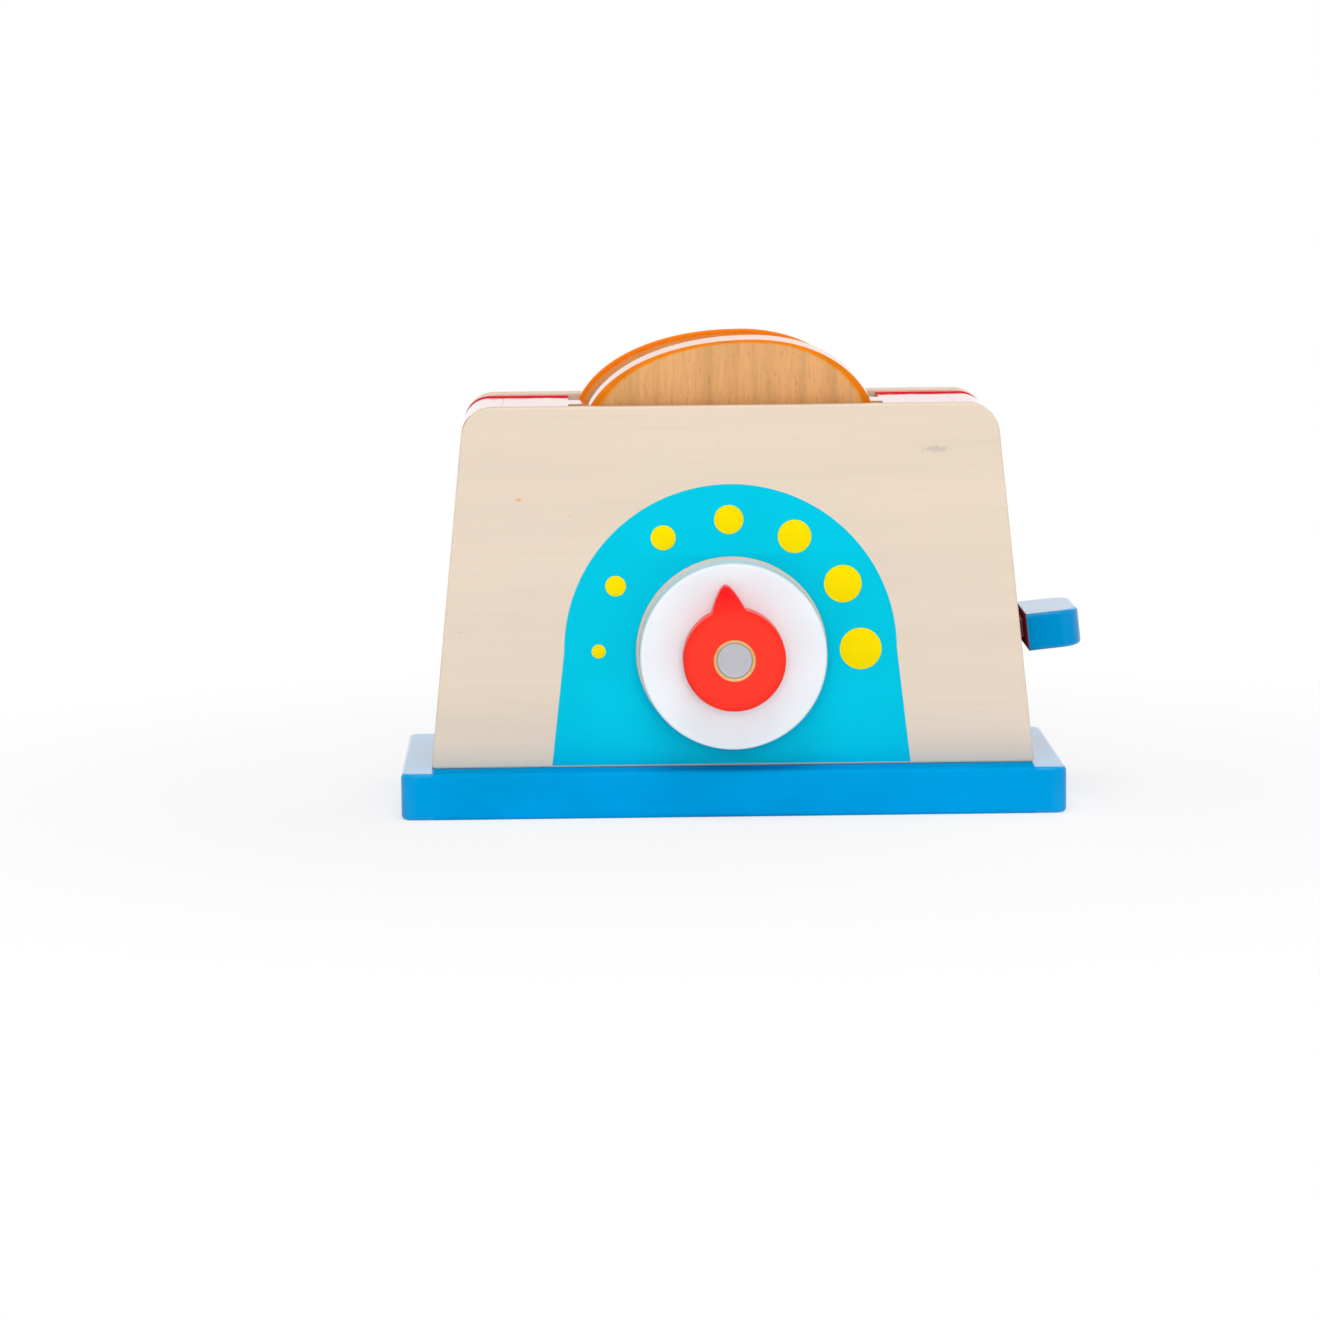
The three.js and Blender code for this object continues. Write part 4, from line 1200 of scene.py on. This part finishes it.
class TOASTER_OT_dial_knob(bpy.types.Operator):
    """Red knob with its pointer and counterbore"""

    bl_idname = "toaster.dial_knob"
    bl_label = "Dial knob"
    bl_options = {"REGISTER", "UNDO"}

    def execute(self, context):
        sizes, colours = sizes_and_colours(context)
        low, high = node_box("dial_knob")
        centre = dial_height()
        thickness = high[1] - low[1]
        loop = knob_outline(sizes)
        normals = smooth_normals(loop)
        spokes = loop / np.linalg.norm(loop, axis=1)[:, None]
        turn = sizes.pointer_angle
        slope = sizes.pointer_drop / (sizes.pointer_reach - sizes.knob_radius)

        def place(flat, h):
            """Turns the outline by the pointer's angle. Its face drops in proportion to how far
            a point lies beyond the circle, and the drop fades out towards the back."""
            u, v = flat[:, 0], flat[:, 1]
            front = np.clip(h / thickness * 1.6 - 0.6, 0, 1)
            depth = h - slope * np.clip(v - sizes.knob_radius, 0, None) * front
            x = u * math.cos(turn) - v * math.sin(turn)
            z = u * math.sin(turn) + v * math.cos(turn)
            return np.stack([x, high[1] - depth, centre + z], axis=1)

        shell = Shell()
        r = sizes.knob_rounding
        rings = [
            shell.ring(place(loop - inset * normals, height), inset, side)
            for inset, height, side in edge_profile(thickness, r, 6, ())
        ]
        outer = loop - r * normals
        mouth = spokes * (sizes.counterbore_radius + sizes.counterbore_lip)
        for part in np.linspace(0, 1, 15)[1:-1]:
            rings.append(shell.ring(place(outer + (mouth - outer) * part, thickness)))
        bored, bore = spokes * sizes.counterbore_radius, spokes * sizes.bore_radius
        floor = thickness - sizes.counterbore_depth
        for flat, height in ((mouth, thickness), (bored, thickness - CHAMFER), (bored, floor),
                             (bore, floor), (bore, 0.0)):
            rings.append(shell.ring(place(flat, height)))
        shell.skin(rings, True)
        material = finish("knob_red", knob_paint, colours, sizes, centre)
        add_piece("dial_knob_wood", shell, material, "knob", "knob_red", "dial_knob")
        return {"FINISHED"}


class TOASTER_OT_dial_pin(bpy.types.Operator):
    """Grey pin through the dial, and its retaining ring"""

    bl_idname = "toaster.dial_pin"
    bl_label = "Dial pin"
    bl_options = {"REGISTER", "UNDO"}

    def execute(self, context):
        sizes, colours = sizes_and_colours(context)
        low, high = node_box("dial_pin")
        centre = (low[2] + high[2]) / 2
        reach = high[1] - low[1]
        shaft, head, r, c = sizes.pin_radius, sizes.pin_head_radius, PIN_HEAD_ROUNDING, CHAMFER
        behind = reach - sizes.pin_head_thickness
        a = np.linspace(0, QUARTER, 6)
        crown = np.stack([head - r * (1 - np.cos(a)), reach - r * (1 - np.sin(a))], axis=1)
        profile = np.concatenate([
            [[shaft - c, 0.0], [shaft, c], [shaft, behind],
             [head - PIN_HEAD_CHAMFER, behind], [head, behind + PIN_HEAD_CHAMFER]],
            crown,
            [[head - r - c, reach], [0.4 * head, reach - PIN_HEAD_DISH]],
        ])
        pin = Shell().lathe(profile, moved(upright(high[1]), (0, 0, centre)), 96)
        material = finish("grey_plastic", plastic, colours.grey_plastic, 0.42)
        add_piece("dial_pin_plastic", pin, material, "body", "grey_plastic", "dial_pin")
        low, high = node_box("dial_retainer")
        t, outer, bore = high[1] - low[1], high[0], sizes.bore_radius
        profile = [(bore, c), (bore + c, 0), (outer - c, 0), (outer, c),
                   (outer, t - c), (outer - c, t), (bore + c, t), (bore, t - c)]
        ring = Shell().lathe(profile, moved(upright(high[1]), (0, 0, centre)), 64, True)
        material = finish("zinc_steel", zinc_steel, colours.steel)
        add_piece("dial_retainer_steel", ring, material, "body", "steel", "dial_retainer")
        return {"FINISHED"}


class TOASTER_OT_guides(bpy.types.Operator):
    """Guide rods, their bushes and the lift springs"""

    bl_idname = "toaster.guides"
    bl_label = "Guides and springs"
    bl_options = {"REGISTER", "UNDO"}

    def execute(self, context):
        sizes, colours = sizes_and_colours(context)
        steel = finish("zinc_steel", zinc_steel, colours.steel)
        cream = finish("bush_plastic", plastic, colours.bush_plastic, 0.5)
        for side in SIDES:
            self.rod(side, sizes, wood_for(colours, 2))
            self.bush(side, sizes, cream)
            self.spring(side, sizes, steel)
        return {"FINISHED"}

    def rod(self, side, sizes, material):
        """Dowel with chamfered ends, turned from a profile."""
        low, high = node_box(f"{side}_guide_rod")
        r, c = sizes.rod_radius, ROD_CHAMFER
        heights = np.linspace(low[2] + c, high[2] - c, 9)
        profile = [(r - c, low[2]), *[(r, z) for z in heights], (r - c, high[2])]
        rod = Shell().lathe(profile, standing((low + high) / 2), 48)
        add_piece(f"{side}_rod_wood", rod, material, "body", "bare_wood", f"{side}_guide_rod")

    def bush(self, side, sizes, material):
        """Sleeve with a flange on top, turned from a profile with chamfered corners."""
        low, high = node_box(f"{side}_guide_bush")
        bore, outer = sizes.rod_radius + sizes.clearance, sizes.bush_radius
        flange = (high[0] - low[0]) / 2
        bottom, top, c = low[2], high[2], CHAMFER
        neck = top - sizes.flange_thickness
        profile = [
            (bore, bottom + c), (bore + c, bottom), (outer - c, bottom), (outer, bottom + c),
            (outer, neck), (flange - c, neck), (flange, neck + c), (flange, top - c),
            (flange - c, top), (bore + c, top), (bore, top - c),
        ]
        shell = Shell().lathe(profile, standing((low + high) / 2), 64, True)
        add_piece(f"{side}_bush_plastic", shell, material, "carriage", "bush_plastic",
                  f"{side}_guide_bush")

    def spring(self, side, sizes, material):
        """Round wire wound in a helix: the centre line is R cos t, R sin t, with the height in
        proportion to t, and the wire's circle stands square to it."""
        low, high = node_box(f"{side}_lift_spring")
        middle = (low + high) / 2
        wire = sizes.wire_radius
        radius = (high[0] - low[0]) / 2 - wire
        bottom, top = low[2] + wire, high[2] - wire
        sweep = TURN * sizes.spring_turns
        steps = int(36 * sizes.spring_turns)
        t = np.linspace(0, 1, steps)[:, None]
        cos, sin, still = np.cos(sweep * t), np.sin(sweep * t), np.zeros((steps, 1))
        away = np.hstack([cos, sin, still])
        tangent = np.hstack([-radius * sin, radius * cos, still + (top - bottom) / sweep])
        tangent /= np.linalg.norm(tangent, axis=1)[:, None]
        across = np.cross(tangent, away)
        line = middle * [1, 1, 0] + radius * away + (bottom + (top - bottom) * t) * [0, 0, 1]
        section, _ = circle(wire, 12)
        rows = line[:, None] + (
            section[None, :, :1] * away[:, None] + section[None, :, 1:] * across[:, None]
        )
        shell = Shell()
        shell.skin([shell.ring(row) for row in rows])
        piece = add_piece(f"{side}_spring_wire", shell, material, "body", "steel",
                          f"{side}_lift_spring")
        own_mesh(piece)


class TOASTER_OT_carriage(bpy.types.Operator):
    """Shelves, cross bars and stem block of the carriage"""

    bl_idname = "toaster.carriage"
    bl_label = "Carriage"
    bl_options = {"REGISTER", "UNDO"}

    def execute(self, context):
        sizes, colours = sizes_and_colours(context)
        rounding = sizes.board_rounding
        for side in ("front", "back"):
            node = f"{side}_shelf"
            shelf = board(node_box(node), rounding, 2)
            piece = add_piece(f"{node}_wood", shelf, wood_for(colours, 0), "carriage",
                              "bare_wood", node)
            carve(piece, screw_tools(sizes, SHELF_SCREWS))
        for side in SIDES:
            node = f"{side}_cross_bar"
            low, high = node_box(node)
            bar = board((low, high), rounding, 2)
            piece = add_piece(f"{side}_bar_wood", bar, wood_for(colours, 1), "carriage",
                              "bare_wood", node)
            bore = bore_tool((low + high) / 2, sizes.bush_radius + sizes.clearance,
                             low[2] - BORE_OVERCUT, high[2] + BORE_OVERCUT, 48)
            carve(piece, [bore] + screw_tools(sizes, SHELF_SCREWS + BLOCK_SCREWS))
        block = board(node_box("stem_block"), rounding, 0)
        piece = add_piece("stem_block_wood", block, wood_for(colours, 0), "carriage",
                          "bare_wood", "stem_block")
        carve(piece, [stem_shell(sizes, sizes.clearance)] + screw_tools(sizes, BLOCK_SCREWS))
        return {"FINISHED"}


def lever_place(sizes, place):
    """Carries a placing in the lever's own axes to the frame: a turn about Y by the side's lean,
    then a shift to the middle of the knob's inner face."""
    lean = side_lean(sizes)

    def carried(u, v, h):
        p = place(u, v, h)
        x = p[:, 0] * math.cos(lean) - p[:, 2] * math.sin(lean)
        z = p[:, 0] * math.sin(lean) + p[:, 2] * math.cos(lean)
        return np.stack([x + sizes.lever_face, p[:, 1], z + sizes.lever_height], axis=1)

    return carried


def stem_shell(sizes, clearance=0.0):
    """Flat bar from the stem block to inside the lever knob."""
    _, block = node_box("stem_block")
    face = block[0] - STEM_IN_BLOCK - sizes.lever_face
    inner = face / math.cos(side_lean(sizes)) - clearance
    outer = sizes.stem_in_knob + clearance
    y = sizes.stem_width / 2 + clearance
    t = sizes.stem_thickness / 2 + clearance
    r = sizes.board_rounding
    loop, normals = rectangle(inner, outer, -y, y, 1.5 * r, 4)
    place = lever_place(sizes, moved(level, (0, 0, -t)))
    return Shell().slab(loop, normals, edge_profile(2 * t, r, 3), place)


class TOASTER_OT_lever(bpy.types.Operator):
    """Lever stem and its blue knob"""

    bl_idname = "toaster.lever"
    bl_label = "Lever"
    bl_options = {"REGISTER", "UNDO"}

    def execute(self, context):
        sizes, colours = sizes_and_colours(context)
        # Bare wood darkened and reddened with painted shade and red bounce light from the side wall
        stem_in_shade = finish("stem_wood", bare_wood, colours.stem_wood, 0)
        add_piece("lever_stem_wood", stem_shell(sizes), stem_in_shade, "carriage", "bare_wood",
                  "lever_stem")
        _, high = node_box("lever_knob")
        y, x = high[1], sizes.lever_length
        a, b = sizes.lever_inner_corner, sizes.lever_outer_corner
        loop, normals = rounded_outline([(0, -y, a), (x, -y, b), (x, y, b), (0, y, a)], 14)
        normals[loop[:, 0] < a, 0] *= LEVER_END_CROWN
        place = lever_place(sizes, moved(level, (0, 0, -sizes.lever_thickness / 2)))
        profile = edge_profile(sizes.lever_thickness, sizes.lever_rounding, 7)
        shell = Shell().slab(loop, normals, profile, place)
        # The knob's inner face is matt and gets a greyish maroon that is painted reflection of the
        # red wall in shade
        material = finish("lever_paint", paint, colours.lever_paint, 0, 1.2,
                          lambda f: lever_matt(f, sizes),
                          (colours.knob_inner_painted_reflection, lambda f: lever_inner(f, sizes)))
        piece = add_piece("lever_knob_wood", shell, material, "carriage", "blue_paint",
                          "lever_knob")
        carve(piece, [stem_shell(sizes, sizes.clearance)])
        return {"FINISHED"}


def slice_outline(sizes):
    """Outline of a slice: round foot corners, and a dome whose points are
    (s + (w - s side) side |cos t|^(2/p), h - d + d sin(t)^(2/p)), with s the shift of its top,
    w half the width, side the sign of cos t, d the dome's height and p its power. The points
    lie closer together at the dome's ends."""
    half, shift = sizes.slice_width / 2, sizes.slice_dome_shift
    foot = half - sizes.slice_foot_taper
    r, d, p = sizes.slice_corner, sizes.slice_dome, sizes.slice_dome_power
    a = np.linspace(0, QUARTER, 13)
    left = np.stack([-foot + r - r * np.cos(a), r - r * np.sin(a)], axis=1)
    right = np.stack([foot - r + r * np.sin(a), r - r * np.cos(a)], axis=1)
    s = np.linspace(0, 1, 101)
    t = math.pi * (s - DOME_CROWDING * np.sin(2 * TURN * s))
    side = np.sign(np.cos(t))
    across = shift + (half * side - shift) * np.abs(np.cos(t)) ** (2 / p)
    up = np.clip(np.sin(t), 0, None) ** (2 / p)
    dome = np.stack([across, sizes.slice_height - d + d * up], axis=1)
    return np.concatenate([left, right, dome])


class TOASTER_OT_slices(bpy.types.Operator):
    """Two bread slices that stand in the slots"""

    bl_idname = "toaster.slices"
    bl_label = "Bread slices"
    bl_options = {"REGISTER", "UNDO"}

    def execute(self, context):
        sizes, colours = sizes_and_colours(context)
        front = finish("toast_front", toast_finish, colours, colours.rim_orange,
                       colours.rim_gold, 0.9)
        # The back slice's brighter rim colours and lighter clouds are painted light against the
        # front slice's shade
        back = finish("toast_back", toast_finish, colours, colours.back_rim_orange_painted_light,
                      colours.back_rim_gold_painted_light, 1.0)
        self.slice("toast_front", "front_slice", sizes, front, sizes.front_slice_lean,
                   sizes.front_rim, sizes.rim_spread)
        self.slice("toast_back", "back_slice", sizes, back, -sizes.back_slice_lean,
                   sizes.back_rim, 0.0)
        return {"FINISHED"}

    def slice(self, node, body, sizes, material, lean, rim, spread):
        """Outline with a rounded edge that leans back or forward: y' = y cos a - z sin a and
        z' = y sin a + z cos a. It is then moved to the middle of its node's box."""
        c, s = math.cos(lean), math.sin(lean)

        def place(u, v, h):
            return np.stack([u, -h * c - v * s, -h * s + v * c], axis=1)

        loop = slice_outline(sizes)
        profile = edge_profile(sizes.slice_thickness, sizes.slice_rounding, 6, RIM_ROWS)
        shell = Shell().slab(loop, smooth_normals(loop), profile, place)
        low, high = node_box(node)
        points = np.concatenate(shell.points)
        shift = (low + high - points.min(axis=0) - points.max(axis=0)) / 2
        shell.points = [row + shift for row in shell.points]
        for row, values in zip(shell.points, shell.values):
            self.share_of_rim(row, values, rim, spread)
        add_piece(f"{node}_wood", shell, material, body, "toasted_wood", node)

    def share_of_rim(self, row, values, least, spread):
        """Makes the inset a share of the painted rim's width, which is least in the slice's
        middle and grows with the third power of the distance from it."""
        values[:, 0] /= least + spread * np.clip(np.abs(row[:, 0]) / RIM_WIDEST_AT, 0, 1) ** 3


class TOASTER_OT_screws(bpy.types.Operator):
    """Countersunk screws with cross recesses"""

    bl_idname = "toaster.screws"
    bl_label = "Screws"
    bl_options = {"REGISTER", "UNDO"}

    def execute(self, context):
        sizes, colours = sizes_and_colours(context)
        steel = finish("zinc_steel", zinc_steel, colours.steel)
        for node in BASE_SCREWS:
            self.screw(node, "body", sizes, steel)
        for node in SHELF_SCREWS + BLOCK_SCREWS:
            self.screw(node, "carriage", sizes, steel)
        return {"FINISHED"}

    def screw(self, node, body, sizes, material):
        """Screw turned from a profile: a head with a cross sunk into it, a cone, a shank whose
        radius swells once in each thread turn, and a point. The cross is sunk by its depth
        where the distance from either arm's middle line is small and its reach isn't passed."""
        screw = Screw(node)
        head, radius = screw.head, screw.radius
        unit, _ = circle(1.0, 48)
        reach, depth = sizes.screw_recess * head, CROSS_DEPTH * head
        shell = Shell()

        def row(r, heights):
            return shell.ring(screw.place(r * unit[:, 0], r * unit[:, 1], heights))

        rings = []
        for r in np.linspace(0.06, 0.97, 16) * head:
            near = np.abs(r * unit).min(axis=1)
            in_arm = np.clip(1.6 - near / (CROSS_ARM * head), 0, 1)
            in_reach = np.clip((reach - r) / (CROSS_END * head) + 0.5, 0, 1)
            rings.append(row(r, depth * in_arm * in_reach))
        rings += [row(head, 0.05 * head), row(radius, screw.head_height)]
        pitch = THREAD_PITCH * radius
        end = screw.reach - POINT_LENGTH * radius
        for start in np.arange(screw.head_height + pitch, end, pitch):
            for part, swell in ((0.0, 1.0), (0.35, THREAD_ROOT), (0.7, THREAD_ROOT)):
                rings.append(row(radius * swell, start + part * pitch))
        rings.append(row(POINT_RADIUS * radius, screw.reach))
        shell.skin(rings)
        add_piece(f"{node}_steel", shell, material, body, "steel", node)


class TOASTER_OT_stage(bpy.types.Operator):
    """Floor, light and camera"""

    bl_idname = "toaster.stage"
    bl_label = "Stage"
    bl_options = {"REGISTER", "UNDO"}

    def execute(self, context):
        scene = context.scene
        stage = scene.toaster_stage
        self.floor(stage)
        self.world(scene, stage)
        for name, (size, place, target) in LAMPS.items():
            lamp = self.lamp(f"{name}_lamp", getattr(stage, f"{name}_power"), size, place, target)
            lamp.visible_glossy = name != "front"
        self.camera(scene, stage)
        return {"FINISHED"}

    def floor(self, stage):
        """Sweep from the floor up to a backdrop: a flat run, a quarter circle and an upright
        run, carried along X."""
        a = np.linspace(0, QUARTER, 25)
        bend = [SWEEP_BEND + SWEEP_RADIUS * np.sin(a), SWEEP_RADIUS * (1 - np.cos(a))]
        run = np.concatenate([
            [[SWEEP_FRONT, 0.0]], np.stack(bend, axis=1), [[SWEEP_BEND + SWEEP_RADIUS, SWEEP_TOP]],
        ])
        left, right = [
            np.column_stack([np.full(len(run), x), run])
            for x in (-SWEEP_HALF_WIDTH, SWEEP_HALF_WIDTH)
        ]
        points = np.stack([left, right], axis=1).reshape(-1, 3)
        rows = np.arange(len(run) - 1) * 2
        quads = np.stack([rows, rows + 1, rows + 3, rows + 2], axis=1)
        mesh = bpy.data.meshes.new("floor")
        mesh.from_pydata(points.tolist(), [], quads.tolist())
        mesh.shade_smooth()
        mesh.materials.append(self.paper(stage))
        floor = link(bpy.data.objects.new("floor", mesh))

    def paper(self, stage):
        """White paper. Near the object it is lit by the lamps and takes its shadow; further off
        the camera and reflections see it as plain white. All that lies in front of the object
        is darker in reflections."""
        f = Finish("floor_paper")
        base = f.tints(f.noise(f.place, 3.0, 2.0), stage.floor_colour, 0.995, 1.0)
        lit = f.add("ShaderNodeBsdfDiffuse", {"Color": base}).outputs[0]
        ray = f.add("ShaderNodeLightPath").outputs
        camera, glossy = ray["Is Camera Ray"], ray["Is Glossy Ray"]
        ahead = f.remap(f.axis("Y"), *FLOOR_FRONT, 1.0, 0.0, True)
        strength = f.mix(glossy, WHITE, f.between(ahead, 1.0, stage.front_reflection))
        white = f.add("ShaderNodeEmission", {"Color": strength, "Strength": 1.0}).outputs[0]
        away = f.distance(f.stretched((1, 1, 0)))
        far = f.remap(away, *LIT_FLOOR, stage.near_white, 1.0, True)
        seen = f.math("MULTIPLY", far, f.math("MAXIMUM", camera, glossy))
        plain = f.math("MAXIMUM", seen, f.math("MULTIPLY", ahead, glossy))
        pick = f.add("ShaderNodeMixShader", {0: plain, 1: lit, 2: white})
        f.add("ShaderNodeOutputMaterial", {"Surface": pick.outputs[0]})
        return f.owner

    def world(self, scene, stage):
        """Even white light; the camera sees it as white, and so do reflections, but for the side
        behind the camera, which is darker."""
        f = Finish("studio", world=True)
        ray = f.add("ShaderNodeLightPath").outputs
        mirrored = f.remap(f.axis("Y"), *SKY_FRONT, stage.front_reflection, 1.0, True)
        strength = f.mix(ray["Is Glossy Ray"], (*[stage.world_strength] * 3, 1), mirrored)
        strength = f.mix(ray["Is Camera Ray"], strength, WHITE)
        sky = f.add("ShaderNodeBackground", {"Color": strength, "Strength": 1.0})
        f.add("ShaderNodeOutputWorld", {"Surface": sky.outputs[0]})
        scene.world = f.owner

    def lamp(self, name, power, size, place, target):
        """Square lamp that faces a point."""
        data = bpy.data.lights.new(name, "AREA")
        data.energy = power
        data.size = size
        lamp = link(bpy.data.objects.new(name, data))
        lamp.location = place
        ahead = Vector(target) - Vector(place)
        lamp.rotation_euler = ahead.to_track_quat("-Z", "Y").to_euler()
        return lamp

    def camera(self, scene, stage):
        """Camera at the reference view; its own axes are right, up and back."""
        data = bpy.data.cameras.new("camera")
        data.lens = stage.lens
        data.sensor_width = SENSOR_WIDTH
        data.clip_end = 50.0
        camera = link(bpy.data.objects.new("camera", data))
        axes = (Vector(CAMERA_RIGHT), Vector(CAMERA_UP), -Vector(CAMERA_AHEAD))
        matrix = Matrix(axes).transposed().to_4x4()
        matrix.translation = CAMERA_PLACE
        camera.matrix_world = matrix
        scene.camera = camera
        scene.view_settings.view_transform = "Standard"


PIECE_OPERATORS = (
    TOASTER_OT_base_board,
    TOASTER_OT_panels,
    TOASTER_OT_side_walls,
    TOASTER_OT_top_board,
    TOASTER_OT_painted_marks,
    TOASTER_OT_dial_plate,
    TOASTER_OT_dial_knob,
    TOASTER_OT_dial_pin,
    TOASTER_OT_guides,
    TOASTER_OT_carriage,
    TOASTER_OT_lever,
    TOASTER_OT_slices,
    TOASTER_OT_screws,
    TOASTER_OT_stage,
)

GROUPS = (
    ("toaster_sizes", ToasterSizes),
    ("toaster_colours", ToasterColours),
    ("toaster_stage", ToasterStage),
)


class TOASTER_PT_pieces(bpy.types.Panel):
    """Lists the pieces and their sizes"""

    bl_idname = "TOASTER_PT_pieces"
    bl_label = "Toy toaster"
    bl_space_type = "VIEW_3D"
    bl_region_type = "UI"
    bl_category = "Toaster"

    def draw(self, context):
        for operator in PIECE_OPERATORS:
            self.layout.operator(operator.bl_idname)
        for group_name, _ in GROUPS:
            group = getattr(context.scene, group_name)
            box = self.layout.box()
            for name in group.bl_rna.properties.keys():
                if name not in ("rna_type", "name"):
                    box.prop(group, name)


def register():
    """Registers the classes and gives the scene its groups."""
    for name, group in GROUPS:
        bpy.utils.register_class(group)
        setattr(bpy.types.Scene, name, PointerProperty(type=group))
    for operator in PIECE_OPERATORS:
        bpy.utils.register_class(operator)
    bpy.utils.register_class(TOASTER_PT_pieces)


def unregister():
    """Takes back what register did."""
    bpy.utils.unregister_class(TOASTER_PT_pieces)
    for operator in reversed(PIECE_OPERATORS):
        bpy.utils.unregister_class(operator)
    for name, group in reversed(GROUPS):
        delattr(bpy.types.Scene, name)
        bpy.utils.unregister_class(group)


def main():
    """Builds every piece and the stage."""
    register()
    bpy.ops.toaster.base_board()
    bpy.ops.toaster.panels()
    bpy.ops.toaster.side_walls()
    bpy.ops.toaster.top_board()
    bpy.ops.toaster.painted_marks()
    bpy.ops.toaster.dial_plate()
    bpy.ops.toaster.dial_knob()
    bpy.ops.toaster.dial_pin()
    bpy.ops.toaster.guides()
    bpy.ops.toaster.carriage()
    bpy.ops.toaster.lever()
    bpy.ops.toaster.slices()
    bpy.ops.toaster.screws()
    bpy.ops.toaster.stage()


if __name__ == "__main__":
    main()
